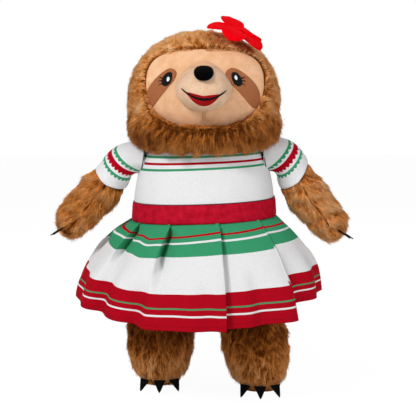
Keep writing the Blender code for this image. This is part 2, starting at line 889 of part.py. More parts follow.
def arm_path(distance):
    """Centre (x, z) and downward slope of the arm's middle line, at a distance from the
    armhole: straight out, round a bend, then straight down and out."""
    bend_length = SHOULDER_BEND_RADIUS * ARM_SLOPE
    bent = min(max(distance - SHOULDER_STRAIGHT, 0), bend_length) / SHOULDER_BEND_RADIUS
    past = max(distance - SHOULDER_STRAIGHT - bend_length, 0)
    x = (
        ARMHOLE_OUT
        + min(distance, SHOULDER_STRAIGHT)
        + SHOULDER_BEND_RADIUS * math.sin(bent)
        + past * math.cos(ARM_SLOPE)
    )
    z = (
        shoulder_height()
        - SHOULDER_BEND_RADIUS * (1 - math.cos(bent))
        - past * math.sin(ARM_SLOPE)
    )
    return x, z, bent


def arm_ring(side, distance, radius):
    x, z, slope = arm_path(distance)
    return [
        (
            side * (x + radius * math.sin(slope) * math.sin(a)),
            radius * math.cos(a),
            z + radius * math.cos(slope) * math.sin(a),
        )
        for a in np.linspace(0, 2 * math.pi, LIMB_SIDES, endpoint=False)
    ]


def sleeve_end():
    return SHOULDER_STRAIGHT + SHOULDER_BEND_RADIUS * ARM_SLOPE + SLEEVE_BELOW_BEND


def make_arms():
    hem = sleeve_end()
    hand = hem + FOREARM_LENGTH
    arm_radius = SLEEVE_RADIUS - SLEEVE_CLOTH - SEAM_GAP
    under = np.linspace(0, hem + SEAM_GAP, SLEEVE_RINGS)
    shares = np.linspace(0, 1, 5)
    forearm = table(FOREARM_SHARES, shares)[:, 0] * HAND_RADIUS
    start = hem + SEAM_GAP + FOREARM_PUFF
    sleeve = np.linspace(0, hem, SLEEVE_RINGS)
    for name, side in SIDES:
        rings = [arm_ring(side, d, arm_radius) for d in under]
        rings += [
            arm_ring(side, start + s * (hand - start), r)
            for s, r in zip(shares, forearm)
        ]
        rings += [
            arm_ring(side, hand + HAND_RADIUS * math.sin(a), HAND_RADIUS * math.cos(a))
            for a in np.radians(CAP_ANGLES)
        ]
        pivot = (side * ARMHOLE_OUT, 0, shoulder_height())
        new_object(f"arm_plush_{name}", loft(rings), BROWN_FUR, pivot)
        outer = [arm_ring(side, d, SLEEVE_RADIUS) for d in sleeve]
        inner = [arm_ring(side, d, SLEEVE_RADIUS - SLEEVE_CLOTH) for d in sleeve[::-1]]
        new_object(f"sleeve_{name}", loft(outer + inner, closed=True), WHITE_CLOTH, pivot)
        x, z, _ = arm_path(hand)
        for number, fan in enumerate((-HAND_CLAW_FAN, 0, HAND_CLAW_FAN)):
            flat = np.array(
                [side * math.cos(HAND_CLAW_SLOPE), 0, -math.sin(HAND_CLAW_SLOPE)]
            )
            front = np.array([0, 1, 0])
            out = flat * math.cos(fan) + front * math.sin(fan)
            across = front * math.cos(fan) - flat * math.sin(fan)
            make_claw(
                f"hand_claw_{name}_{number + 1}",
                np.array([side * x, 0, z]) + out * (HAND_RADIUS + CLAW_SEAT),
                out,
                across,
                HAND_CLAW_LENGTH,
                HAND_CLAW_WIDTH,
            )


def make_claw(name, base, out, across, length, width):
    """A felt claw: a flat triangle with slightly bowed sides, cut from thick felt."""
    normal = np.cross(out, across)
    rings = []
    for u, w in ((0.0, 1.0), (0.3, 0.80), (0.65, 0.47), (1.0, 0.0)):
        half = CLAW_TIP_WIDTH / 2 + (width - CLAW_TIP_WIDTH) / 2 * w
        thick = FELT / 2
        middle = base + out * length * u
        rings.append(
            [
                middle + across * half * a + normal * thick * b
                for a, b in ((-1, -1), (0, -1), (1, -1), (1, 1), (0, 1), (-1, 1))
            ]
        )
    new_object(name, loft(rings), BLACK_FELT)


def foot_place(name):
    forward = STRIDE / 2 if name == "left" else -STRIDE / 2
    out = LEFT_FOOT_OUT if name == "left" else RIGHT_FOOT_OUT
    return out, -forward


def leg_ring(name, side, share):
    """One level of the leg below the hip; share is its height over the hip's."""
    thigh = (
        2 * HIP_RADIUS / LEG_WIDTH,
        HIP_RADIUS / FOOT_FRONT_DEPTH,
        HIP_RADIUS / FOOT_BACK_DEPTH,
    )
    rows = LEG_SHARES + ((THIGH_START_SHARE, *thigh), (1.0, *thigh))
    w, f, b = table(rows, share)[0]
    foot_out, foot_y = foot_place(name)
    centre = (side * (foot_out + (HIP_OUT - foot_out) * share), foot_y * (1 - share))
    points = ring(
        LIMB_SIDES,
        w * LEG_WIDTH / 2,
        f * FOOT_FRONT_DEPTH,
        b * FOOT_BACK_DEPTH,
        LEG_POWER + (2 - LEG_POWER) * share,
    )
    return level(points, share * HIP_HEIGHT, centre)


def leg_rings(name, side):
    """Rings from the flat sole up to the hip, then over the ball that sits in the body."""
    shares = [row[0] for row in LEG_SHARES] + [THIGH_START_SHARE, 1.0]
    rings = [leg_ring(name, side, share) for share in shares]
    for a in np.radians(CAP_ANGLES):
        points = ring(LIMB_SIDES, *[HIP_RADIUS * math.cos(a)] * 3, 2)
        rings.append(
            level(points, HIP_HEIGHT + HIP_RADIUS * math.sin(a), (side * HIP_OUT, 0))
        )
    return rings


def make_legs():
    for name, side in SIDES:
        pivot = (side * HIP_OUT, 0, HIP_HEIGHT)
        new_object(f"leg_plush_{name}", loft(leg_rings(name, side)), BROWN_FUR, pivot)
        share = FOOT_CLAW_HEIGHT / HIP_HEIGHT
        w, f, _ = table(LEG_SHARES, share)[0]
        foot_out, foot_y = foot_place(name)
        middle = np.array(
            [
                side * (foot_out + (HIP_OUT - foot_out) * share),
                foot_y * (1 - share),
                FOOT_CLAW_HEIGHT,
            ]
        )
        for number, fan in enumerate((-FOOT_CLAW_FAN, 0, FOOT_CLAW_FAN)):
            s, c = math.sin(fan), math.cos(fan)
            edge = np.array(
                [
                    w * LEG_WIDTH / 2 * math.copysign(abs(s) ** (2 / LEG_POWER), s),
                    -f * FOOT_FRONT_DEPTH * c ** (2 / LEG_POWER),
                    0,
                ]
            )
            level_out = np.array([s, -c, 0])
            out = level_out * math.cos(FOOT_CLAW_SLOPE) - np.array(
                [0, 0, math.sin(FOOT_CLAW_SLOPE)]
            )
            make_claw(
                f"foot_claw_{name}_{number + 1}",
                middle + edge + level_out * CLAW_SEAT,
                out,
                np.array([c, s, 0]),
                FOOT_CLAW_LENGTH,
                FOOT_CLAW_WIDTH,
            )


for old in list(bpy.data.objects):
    bpy.data.objects.remove(old)

BROWN_FUR = material("brown_long_pile_plush", "#A96D38", 0.95)
PEACH_PLUSH = material("peach_short_pile_plush", "#EBB387", 0.9)
CREAM_PLUSH = material("cream_short_pile_plush", "#E3BE9F", 0.9)
BLACK_PLUSH = material("black_short_pile_plush", "#0B0B0E", 0.8)
WHITE_CLOTH = material("white_knit_cloth", "#E9E9E9", 0.85)
RED_CLOTH = material("crimson_knit_cloth", "#B41029", 0.8)
SKIRT_CLOTH = material("striped_skirt_cloth", "#E6E6E8", 0.8)
RED_FELT = material("red_felt", "#D40A16", 0.85)
BLACK_FELT = material("black_felt", "#141414", 0.9)
BROWN_THREAD = material("brown_embroidery", "#94512E", 0.6)
BLACK_THREAD = material("black_embroidery", "#0C0C0F", 0.45)
WHITE_THREAD = material("white_embroidery", "#F4F4F4", 0.5)
RED_THREAD = material("red_embroidery", "#93060B", 0.5)

make_body_and_dress()
make_head()
make_face()
make_flower()
make_arms()
make_legs()
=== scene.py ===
# %% [markdown]
# # A plush sloth in a pleated dress
# A stuffed sloth about 40 cm tall: long-pile plush on the head and limbs, short-pile plush on
# the face, embroidered eyes and mouth, felt claws and flower, and a printed dress with a
# pleated skirt. Each cell below makes one of these, from the cloth's point of view: what it
# is cut from, how it is sewn, and how it lies.

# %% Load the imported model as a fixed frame
import math

import bmesh
import bpy
import numpy as np
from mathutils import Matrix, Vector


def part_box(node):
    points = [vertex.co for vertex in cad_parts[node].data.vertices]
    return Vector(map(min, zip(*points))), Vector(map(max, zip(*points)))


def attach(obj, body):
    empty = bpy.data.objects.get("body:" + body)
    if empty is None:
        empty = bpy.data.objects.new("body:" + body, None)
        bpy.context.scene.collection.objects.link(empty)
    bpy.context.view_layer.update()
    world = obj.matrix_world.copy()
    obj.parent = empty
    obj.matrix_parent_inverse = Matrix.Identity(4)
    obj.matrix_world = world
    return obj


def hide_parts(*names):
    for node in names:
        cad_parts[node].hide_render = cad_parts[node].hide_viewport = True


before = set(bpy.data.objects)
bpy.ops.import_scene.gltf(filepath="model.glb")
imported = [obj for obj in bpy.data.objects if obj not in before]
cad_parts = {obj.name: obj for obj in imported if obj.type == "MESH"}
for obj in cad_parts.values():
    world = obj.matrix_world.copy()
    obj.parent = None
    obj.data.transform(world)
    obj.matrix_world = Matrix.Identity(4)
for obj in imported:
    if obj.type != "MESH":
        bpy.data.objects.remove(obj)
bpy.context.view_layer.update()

# %% [markdown]
# ## Camera
# A product photograph of a toy is taken from a little above, with a long lens, so that the
# body isn't distorted. The place and the lens come from the floor lines and the sizes of the
# feet, belt and head in the photograph.

# %% Camera
PICTURE_SIDE, FOCAL_PIXELS = 416, 1333
CAMERA_PLACE, DEGREES_DOWN = (0.0042, -1.4, 0.368), 7.05
camera_data = bpy.data.cameras.new("camera")
camera_data.sensor_width = 36
camera_data.lens = FOCAL_PIXELS / PICTURE_SIDE * camera_data.sensor_width
camera_data.clip_start = 0.05
camera = bpy.data.objects.new("camera", camera_data)
camera.location = CAMERA_PLACE
camera.rotation_euler = (math.radians(90 - DEGREES_DOWN), 0, 0)
bpy.context.collection.objects.link(camera)
bpy.context.scene.camera = camera
print("lens", round(camera_data.lens, 1), "mm at", tuple(camera.location))

# %% [markdown]
# ## Helpers for materials
# Every finish is a Principled shader with procedural patterns on it. Colours are written as
# sRGB hex values, as a colour picker shows them, and turned to the linear values that Blender
# calculates with.

# %% Material helpers


def linear(colour):
    """sRGB hex to linear: each part is divided by 255 and raised by the sRGB curve."""
    parts = [int(colour[i : i + 2], 16) / 255 for i in (1, 3, 5)]
    return [((c + 0.055) / 1.055) ** 2.4 if c > 0.04045 else c / 12.92 for c in parts] + [1]


def add(tree, kind, inputs=None, stops=(), **settings):
    """Adds a node: settings are its own, inputs are values or links by input name, and stops
    are the (place, hex colour) pairs of a colour ramp, in order."""
    made = tree.nodes.new(kind)
    for key, value in settings.items():
        setattr(made, key, value)
    for key, value in (inputs or {}).items():
        if isinstance(value, bpy.types.NodeSocket):
            tree.links.new(value, made.inputs[key])
        else:
            made.inputs[key].default_value = value
    for number, (place, colour) in enumerate(stops):
        elements = made.color_ramp.elements
        element = elements[number] if number < len(elements) else elements.new(place)
        element.position, element.color = place, linear(colour)
    return made


def per_metre(size):
    """The scale of a pattern whose parts measure this many metres."""
    return round(1 / size)


def new_finish(name, roughness, sheen=0.0, specular=0.3):
    """A new material: its node tree, its Principled shader with the constants set, and the
    place on the object, in metres, that the patterns are drawn from."""
    made = bpy.data.materials.new(name)
    made.use_nodes = True
    tree = made.node_tree
    shader = tree.nodes["Principled BSDF"]
    shader.inputs["Roughness"].default_value = roughness
    shader.inputs["Specular IOR Level"].default_value = specular
    shader.inputs["Sheen Weight"].default_value = sheen
    print("material", name)
    return made, tree, shader, add(tree, "ShaderNodeTexCoord").outputs["Object"]


def dress_shader(tree, shader, colour, height=None, depth=0.0):
    """Plugs a colour into the shader, and a height that stands up to depth metres proud."""
    tree.links.new(colour, shader.inputs["Base Color"])
    if height is not None:
        bump = add(tree, "ShaderNodeBump", {"Height": height, "Distance": depth})
        tree.links.new(bump.outputs["Normal"], shader.inputs["Normal"])


# %% [markdown]
# ## Plush
# Plush is a knitted backing with pile standing on it. Long pile is combed down, and each
# strand is darker at its root, where little light comes, than at its tip; that darkness is
# painted shade. So the strands carry a number, the tone, from 0 at the root to 1 at the tip,
# and the colour follows it.

# %% Long-pile plush


def long_pile_plush():
    """Polyester fur of about 10 mm: matt, with a soft sheen along the strands."""
    made, tree, shader, _ = new_finish("brown_long_pile_plush", 0.75, 0.03, 0.05)
    tone = add(tree, "ShaderNodeAttribute", attribute_name="tone").outputs["Fac"]
    stops = [
        (0.0, "#562104"),
        (0.30, "#A65C18"),
        (0.55, "#DC8A3E"),
        (0.78, "#F2AC66"),
        (1.0, "#FFD49C"),
    ]
    colour = add(tree, "ShaderNodeValToRGB", {"Fac": tone}, stops)
    dress_shader(tree, shader, colour.outputs["Color"])
    return made


FUR = long_pile_plush()

# %% [markdown]
# The face is cut from a second plush whose pile is only 2 mm long. Its strands are too short
# to be seen one by one, so the shader alone draws them, as a grain with a small bump.

# %% Short-pile plush


def short_pile_plush(name, deep, full, light, sheen=0.12, specular=0.06, beyond=None):
    """Knitted plush of 2 mm pile: a velvety cloth whose nap leans in patches of about 9 mm,
    lighter and darker; the pile itself is drawn as a grain of 0.9 mm. Where the mark called
    pale falls to 0, the colour goes over into the one beyond."""
    made, tree, shader, place = new_finish(name, 0.85, sheen, specular)
    leaning = {"Vector": place, "Scale": per_metre(0.009), "Detail": 3}
    nap = add(tree, "ShaderNodeTexNoise", leaning)
    grain = {"Vector": place, "Scale": per_metre(0.0009), "Detail": 2}
    pile = add(tree, "ShaderNodeTexNoise", grain)
    pile = pile.outputs["Fac"]
    both = add(tree, "ShaderNodeMath", {0: nap.outputs["Fac"], 1: pile}, operation="ADD")
    half = add(tree, "ShaderNodeMath", {0: both.outputs[0], 1: 0.5}, operation="MULTIPLY")
    stops = [(0.28, deep), (0.5, full), (0.72, light)]
    if beyond:
        pale = add(tree, "ShaderNodeAttribute", attribute_name="pale").outputs["Fac"]
        half = add(tree, "ShaderNodeMath", {0: half.outputs[0], 1: pale}, operation="MULTIPLY")
        stops = [(0.02, beyond)] + stops
    colour = add(tree, "ShaderNodeValToRGB", {"Fac": half.outputs[0]}, stops)
    dress_shader(tree, shader, colour.outputs["Color"], pile, 0.0005)
    return made


PEACH = short_pile_plush("peach_short_pile_plush", "#D6A074", "#E5B38A", "#EEC7A4")
CREAM = short_pile_plush(
    "cream_short_pile_plush", "#CCA07C", "#DEB999", "#E9CAAE", beyond="#E5B38A"
)
BLACK = short_pile_plush("black_short_pile_plush", "#010101", "#020203", "#050507", 0.0, 0.02)

# %% [markdown]
# ## Cloth, felt and thread
# The dress is printed brushed polyester, the claws and the flower are felt, and the eyes and
# mouth are satin stitch. The print could be painted on, but a band is only a range of one
# number, so each dress piece carries that number, the drop, and a colour ramp reads it.

# %% Cloth


def brushed_cloth(name, stops, banded=True):
    """Brushed knit with loops of 0.7 mm. Its print is a row of bands: each stop is the place
    where a band starts, on a scale from 0 to 1, and its colour. Cloth without a print is
    rubbed lighter in patches of 6 mm instead, from the first colour to the second."""
    made, tree, shader, place = new_finish(name, 0.8, 0.0, 0.04)
    knit = {"Vector": place, "Scale": per_metre(0.0007), "Detail": 2}
    loops = add(tree, "ShaderNodeTexNoise", knit).outputs["Fac"]
    if banded:
        along = add(tree, "ShaderNodeAttribute", attribute_name="drop").outputs["Fac"]
    else:
        rubbed = {"Vector": place, "Scale": per_metre(0.00625)}
        along = add(tree, "ShaderNodeTexNoise", rubbed).outputs["Fac"]
    base = add(tree, "ShaderNodeValToRGB", {"Fac": along}, stops)
    base.color_ramp.interpolation = "CONSTANT" if banded else "LINEAR"
    stops = [(0.25, "#D8D8D8"), (0.6, "#FFFFFF")]
    shade = add(tree, "ShaderNodeValToRGB", {"Fac": loops}, stops)
    mix = add(
        tree,
        "ShaderNodeMix",
        {"Factor": 0.55, 6: base.outputs["Color"], 7: shade.outputs["Color"]},
        data_type="RGBA",
        blend_type="MULTIPLY",
    )
    dress_shader(tree, shader, mix.outputs[2], loops, 0.00025)
    return made


WHITE, CRIMSON, GREEN = "#E3E3E4", "#AA061B", "#389468"
# On the bodice and sleeves the scale is 100 mm long: from the waist up, and from the hem up.
BODICE_BANDS = [
    (0.0, WHITE),
    (0.534, GREEN),
    (0.558, WHITE),
    (0.592, CRIMSON),
    (0.617, WHITE),
    (0.659, GREEN),
    (0.683, WHITE),
]
SLEEVE_BANDS = [
    (0.0, WHITE),
    (0.150, GREEN),
    (0.179, WHITE),
    (0.215, CRIMSON),
    (0.275, WHITE),
    (0.306, GREEN),
    (0.335, WHITE),
]
# On the skirt it is the share of the drop, because the stripes follow the hem.
SKIRT_BANDS = [
    (0.0, GREEN),
    (0.073, CRIMSON),
    (0.092, GREEN),
    (0.134, WHITE),
    (0.153, GREEN),
    (0.281, WHITE),
    (0.636, CRIMSON),
    (0.770, GREEN),
    (0.789, CRIMSON),
    (0.843, WHITE),
    (0.862, CRIMSON),
]
BODICE_CLOTH = brushed_cloth("striped_bodice_cloth", BODICE_BANDS)
SLEEVE_CLOTH = brushed_cloth("striped_sleeve_cloth", SLEEVE_BANDS)
SKIRT_CLOTH = brushed_cloth("striped_skirt_cloth", SKIRT_BANDS)
BELT_CLOTH = brushed_cloth("crimson_knit_cloth", [(0.3, "#A40A21"), (0.7, "#C2142F")], False)

# %% [markdown]
# Felt has no weave, so a tangle of noise stands for its fibres. Satin stitch does have a
# direction: a wave pattern lays its rows side by side, and its distortion keeps them handmade.

# %% Felt and thread


def felt(name, deep, full):
    """Pressed fibres: dull, with a fine tangle of about 0.8 mm on the face."""
    made, tree, shader, place = new_finish(name, 0.95, 0.0, 0.02)
    tangle = {"Vector": place, "Scale": per_metre(0.0008), "Detail": 4}
    fibres = add(tree, "ShaderNodeTexNoise", tangle).outputs["Fac"]
    colour = add(tree, "ShaderNodeValToRGB", {"Fac": fibres}, [(0.3, deep), (0.62, full)])
    dress_shader(tree, shader, colour.outputs["Color"], fibres, 0.00035)
    return made


def satin_stitch(name, deep, full, angle=0.0, thread=0.0006):
    """Rows of polyester thread: each row is round, so a band of light runs along it, which is
    painted into the colour as a lighter band. Real thread is 0.4 mm; it is drawn thicker, so
    that the rows show in the render."""
    made, tree, shader, place = new_finish(name, 0.6, 0.0, 0.10)
    turned = add(tree, "ShaderNodeMapping", {"Vector": place, "Rotation": (0, angle, 0)})
    wave = {
        "Vector": turned.outputs["Vector"],
        "Scale": math.pi / 10 / thread / 2,
        "Distortion": 2.5,
        "Detail": 2.0,
        "Detail Scale": 3.0,
    }
    rows = add(tree, "ShaderNodeTexWave", wave).outputs["Fac"]
    colour = add(tree, "ShaderNodeValToRGB", {"Fac": rows}, [(0.15, deep), (0.7, full)])
    dress_shader(tree, shader, colour.outputs["Color"], rows, 0.0003)
    return made


RED_FELT = felt("red_felt", "#C80006", "#FF0214")
BLACK_FELT = felt("black_felt", "#040404", "#121212")
BROWN_THREAD = satin_stitch("brown_embroidery", "#74391D", "#BC784E", 0.5, 0.0008)
BLACK_THREAD = satin_stitch("black_embroidery", "#020203", "#0C0C10")
WHITE_THREAD = satin_stitch("white_embroidery", "#DCDCDC", "#FFFFFF")
RED_THREAD = satin_stitch("red_embroidery", "#84020A", "#B8060F", 1.57)
SEAM_THREAD = satin_stitch("seam_thread", "#222228", "#3A3A42")
HEM_THREAD = satin_stitch("hem_thread", "#5A0612", "#7C0A1A")

# %% [markdown]
# ## Helpers for shapes
# A surface is a grid: a function of two numbers gives a point for each place in the grid, and
# neighbours are joined by faces. Closed forms end in a pole, which is one point in the middle
# of the last row.

# %% Pieces of the toy
SIDES = (("left", 1), ("right", -1))


def new_piece(name, mesh, material, body, replaces=()):
    """Puts a mesh in the scene, on a body of the toy, in place of CAD nodes."""
    piece = bpy.data.objects.new(name, mesh)
    mesh.materials.append(material)
    bpy.context.collection.objects.link(piece)
    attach(piece, body)
    if replaces:
        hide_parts(*replaces)
    print(name, "of", material.name, "on", body, len(mesh.polygons), "faces")
    return piece


# %% Grids to meshes


def turns_and_rows(around, along, first=0.0, last=1.0):
    """Two grids of numbers: u turns round and stops short of its start, and v runs from the
    first row's number to the last row's."""
    return np.meshgrid(np.linspace(0, 1, around + 1)[:-1], np.linspace(first, last, along))


def grid_mesh(name, points, round_rows=False, poles=True, marks=None):
    """A mesh from points[row, column]. The columns close on themselves, the rows may, and
    the end rows may be closed by a pole. marks are numbers per point, kept as attributes."""
    rows, columns = points.shape[:2]
    index = np.arange(rows * columns).reshape(rows, columns)
    r = np.arange(rows if round_rows else rows - 1)
    r, c = [a.ravel() for a in np.meshgrid(r, np.arange(columns), indexing="ij")]
    r2, c2 = (r + 1) % rows, (c + 1) % columns
    quads = np.column_stack([index[r, c], index[r, c2], index[r2, c2], index[r2, c]])
    faces = quads.tolist()
    places = points.reshape(-1, 3)
    marks = {key: np.asarray(value).reshape(-1) for key, value in (marks or {}).items()}
    if poles and not round_rows:
        c = np.arange(columns)
        for row in (0, rows - 1):
            pole = len(places)
            places = np.vstack([places, points[row].mean(0)])
            marks = {
                k: np.append(v, v[row * columns : (row + 1) * columns].mean())
                for k, v in marks.items()
            }
            fan = [index[row, c], index[row, (c + 1) % columns], np.full(columns, pole)]
            faces += np.column_stack(fan).tolist()
    mesh = bpy.data.meshes.new(name)
    mesh.from_pydata(places.tolist(), [], faces)
    for key, value in marks.items():
        mesh.attributes.new(key, "FLOAT", "POINT").data.foreach_set(
            "value", value.astype(np.float32)
        )
    bm = bmesh.new()
    bm.from_mesh(mesh)
    bmesh.ops.recalc_face_normals(bm, faces=bm.faces)
    bm.to_mesh(mesh)
    bm.free()
    mesh.shade_smooth()
    return mesh


def grid_piece(name, points, material, body, slot, replaces=(), **form):
    """A piece of the toy made from a grid of points; form is passed on to grid_mesh."""
    mesh = grid_mesh(name, points, **form)
    return new_piece(name, mesh, material, body, replaces)


def shell(near, far):
    """Rows of an outer grid, then those of an inner grid backwards: a closed cloth shell."""
    return np.concatenate([near, far[::-1]])


# %% Curves and outlines


def table(shares, at):
    """Columns of a table of shares, read between its rows on a smooth curve."""
    rows = np.array(shares, float)
    x, y = rows[:, 0], rows[:, 1:]
    slope = np.gradient(y, x, axis=0)
    at = np.clip(np.asarray(at, float), x[0], x[-1])
    i = np.clip(np.searchsorted(x, at, side="right") - 1, 0, len(x) - 2)
    step = (x[i + 1] - x[i])[..., None]
    t = ((at - x[i]) / (x[i + 1] - x[i]))[..., None]
    made = (2 * t**3 - 3 * t**2 + 1) * y[i] + (t**3 - 2 * t**2 + t) * step * slope[i]
    made += (3 * t**2 - 2 * t**3) * y[i + 1] + (t**3 - t**2) * step * slope[i + 1]
    return np.moveaxis(made, -1, 0)


def signed_power(value, power):
    """A value raised to a power without losing its sign. Below 1 it makes circles squarer."""
    return np.sign(value) * np.abs(value) ** power


def oblong(turn, half_width, front, back, power):
    """x and y of a rounded oblong: cosine and sine, each raised to 2/power."""
    x = half_width * signed_power(np.cos(turn), 2 / power)
    s = np.sin(turn)
    return x, np.where(s < 0, front, back) * signed_power(s, 2 / power)


def smooth(low, high, value):
    """0 below low, 1 above high, and a smooth S between."""
    t = np.clip((value - low) / (high - low), 0, 1)
    return t * t * (3 - 2 * t)


def hill(value, width):
    """A smooth hump of height 1 where the value is 0, which falls off within the width."""
    return np.exp(-((value / width) ** 2))


def share_of_way(outline, middle, x, z):
    """How far a point is from the middle, as a share of the way to the outline. The reach of
    the outline is looked up by its angle."""
    ox, oz = outline(np.linspace(0, 2 * math.pi, 721)[:-1])
    angle, reach = np.arctan2(oz - middle, ox), np.hypot(ox, oz - middle)
    order = np.argsort(angle)
    own = np.arctan2(z - middle, x)
    edge = np.interp(own, angle[order], reach[order], period=2 * math.pi)
    return np.hypot(x, z - middle) / edge


# %% [markdown]
# ## Helpers for fur
# Fur could be Blender's hair, but hair can't be exported as solid pieces. So each strand is a
# spindle of six triangles: a root inside the cloth, three points round its thickest place, and
# a tip. Neighbouring strands lean together in tufts, and that is what the eye reads as fur.

# %% Scattering and tufts


def scatter(shape, count, rng, across=220, down=160):
    """Places (u, v) spread evenly over a surface: cells are picked by their area."""
    u, v = np.meshgrid(np.linspace(0, 1, across), np.linspace(0, 1, down), indexing="ij")
    points = shape(u, v)
    du, dv = points[1:, :-1] - points[:-1, :-1], points[:-1, 1:] - points[:-1, :-1]
    area = np.linalg.norm(np.cross(du, dv), axis=-1).ravel()
    cell = rng.choice(area.size, count, p=area / area.sum())
    i, j = np.unravel_index(cell, (across - 1, down - 1))
    jitter = rng.random((2, count))
    return (i + jitter[0]) / (across - 1), (j + jitter[1]) / (down - 1)


def normals(shape, u, v, step=2e-3):
    """Outward direction at (u, v): the cross product of the steps along u and v."""
    u0, u1 = np.clip(u - step, 0, 1), np.clip(u + step, 0, 1)
    v0, v1 = np.clip(v - step, 0, 1), np.clip(v + step, 0, 1)
    n = np.cross(shape(u1, v) - shape(u0, v), shape(u, v1) - shape(u, v0))
    return n / np.maximum(np.linalg.norm(n, axis=-1, keepdims=True), 1e-12)


def tufts(points, size, seed, waves=28):
    """Soft lumps of about the given size: a sum of sine waves in random directions, with
    the slope of that sum, which points to the middle of the nearest lump."""
    rng = np.random.default_rng(seed)
    way = rng.normal(size=(waves, 3))
    way *= (rng.uniform(0.7, 1.4, waves) / np.linalg.norm(way, axis=1))[:, None]
    phase = points @ (way.T * math.pi / size) + rng.uniform(0, 6.283, waves)
    lump = np.sin(phase).sum(-1) * math.sqrt(2 / waves)
    slope = np.cos(phase) @ way * math.sqrt(2 / waves)
    return lump, slope


# %% Strands


def strand_mesh(name, root, middle, tip, radius, tone):
    """Spindles of six triangles: a root, three points round the middle, and a tip."""
    count = len(root)
    along = tip - root
    along /= np.linalg.norm(along, axis=1, keepdims=True)
    side = np.cross(along, [0.3, 0.2, 0.93])
    side /= np.linalg.norm(side, axis=1, keepdims=True)
    third = np.cross(along, side)
    places = np.empty((count, 5, 3), np.float32)
    places[:, 0] = root
    for k in range(3):
        a = 2 * math.pi * k / 3
        around = side * math.cos(a) + third * math.sin(a)
        places[:, k + 1] = middle + around * radius[:, None]
    places[:, 4] = tip
    pattern = [[0, 2, 1], [0, 3, 2], [0, 1, 3], [4, 1, 2], [4, 2, 3], [4, 3, 1]]
    corners = (np.arange(count)[:, None, None] * 5 + np.array(pattern)).reshape(-1)
    mesh = bpy.data.meshes.new(name)
    mesh.vertices.add(count * 5)
    mesh.vertices.foreach_set("co", places.reshape(-1))
    mesh.loops.add(len(corners))
    mesh.loops.foreach_set("vertex_index", corners.astype(np.int32))
    mesh.polygons.add(count * 6)
    mesh.polygons.foreach_set("loop_start", np.arange(0, count * 18, 3, dtype=np.int32))
    tones = np.stack([tone[:, 0], tone[:, 1], tone[:, 1], tone[:, 1], tone[:, 2]], 1)
    mesh.attributes.new("tone", "FLOAT", "POINT").data.foreach_set(
        "value", tones.reshape(-1).astype(np.float32)
    )
    mesh.update()
    mesh.validate()
    mesh.shade_smooth()
    return mesh


# %% [markdown]
# Real pile isn't even. It clings together in fine locks, the locks in tufts, and the tufts in
# patches that a hand has brushed, and every strand differs a little from its neighbours. Each
# of these sizes is one layer of lumps below.

# %% Growing fur
LOCK_SIZE, TUFT_SIZE, PATCH_SIZE = 0.0028, 0.0065, 0.024
ROOT_DEPTH = 0.0006
MIDDLE_SHARE = 0.45
STRANDS_PER_PIECE = 32000
# How much a strand strays from its neighbours: in its way and its length, as shares, and
# in its two angles, in degrees.
STRAY_WAY, STRAY_LENGTH, STRAY_LIFTS = 0.10, 0.10, (7, 9)
# Strands on the crest of a tuft are longer by a share of their length, within limits.
CREST_SHARE, SHORTEST_SHARE, LONGEST_SHARE = 0.16, 0.45, 1.5
# The tone halfway up a strand, what each layer of lumps and chance add to it, and how
# much darker the root is, as painted shade, and how much lighter the tip.
TONE, TUFT_TONE, LOCK_TONE, PATCH_TONE, STRAY_TONE = 0.57, 0.06, 0.075, 0.04, 0.09
ROOT_DARKER, TIP_LIGHTER = 0.45, 0.24


def grow_fur(
    shape,
    count,
    comb,
    length,
    lift,
    seed,
    keep,
    shade,
    radius=0.0003,
    pulls=(0.26, 0.24),
):
    """Roots, middles, tips, radii and tones of fur over a surface. comb gives the way the
    pile lies at each root, and lift its angles over the cloth at the root and at the tip,
    in degrees. keep picks roots, shade adds painted light and shade to their tone, and
    pulls say how strongly strands lean together in tufts and in locks."""
    rng = np.random.default_rng(seed)
    u, v = scatter(shape, count, rng)
    root = shape(u, v)
    out = normals(shape, u, v)
    kept = keep(root)
    root, out = root[kept], out[kept]
    count = len(root)
    lump, pull = tufts(root, TUFT_SIZE, seed + 1)
    lock, pull_small = tufts(root, LOCK_SIZE, seed + 2)
    way = comb(root, out)
    way /= np.linalg.norm(way, axis=1, keepdims=True)
    way = way + pulls[0] * pull + pulls[1] * pull_small + rng.normal(0, STRAY_WAY, (count, 3))
    way -= out * (way * out).sum(1, keepdims=True)
    way /= np.linalg.norm(way, axis=1, keepdims=True)
    long = length(root) if callable(length) else np.full(count, length)
    share = 1 + CREST_SHARE * lump + STRAY_LENGTH * rng.normal(size=count)
    long = long * np.clip(share, SHORTEST_SHARE, LONGEST_SHARE)
    low, high = lift(root) if callable(lift) else lift
    first = np.radians(low + STRAY_LIFTS[0] * rng.normal(size=count))[:, None]
    second = np.radians(high + STRAY_LIFTS[1] * rng.normal(size=count))[:, None]
    middle = root + MIDDLE_SHARE * long[:, None] * (out * np.sin(first) + way * np.cos(first))
    rest = (1 - MIDDLE_SHARE) * long[:, None]
    tip = middle + rest * (out * np.sin(second) + way * np.cos(second))
    patch, _ = tufts(root, PATCH_SIZE, seed + 3)
    base = TONE + TUFT_TONE * lump + LOCK_TONE * lock + PATCH_TONE * patch
    # shade(root) is painted light and shade on the tone.
    base = base + STRAY_TONE * rng.normal(size=count) + shade(root)
    # The tone at the root, in the middle and at the tip of each strand.
    tone = np.clip(np.stack([base - ROOT_DARKER, base, base + TIP_LIGHTER], 1), 0, 1)
    thick = radius * rng.uniform(0.75, 1.25, count)
    return root - out * ROOT_DEPTH, middle, tip, thick, tone


def fur_pieces(name, strands, body):
    """Splits strands into pieces that each stay under 200,000 triangles."""
    count = len(strands[0])
    parts = math.ceil(count / STRANDS_PER_PIECE)
    for part in range(parts):
        own = [values[part::parts] for values in strands]
        mesh = strand_mesh(f"{name}_{part + 1}", *own)
        new_piece(f"{name}_{part + 1}", mesh, FUR, body)
    print(name, count, "strands in", parts, "pieces")


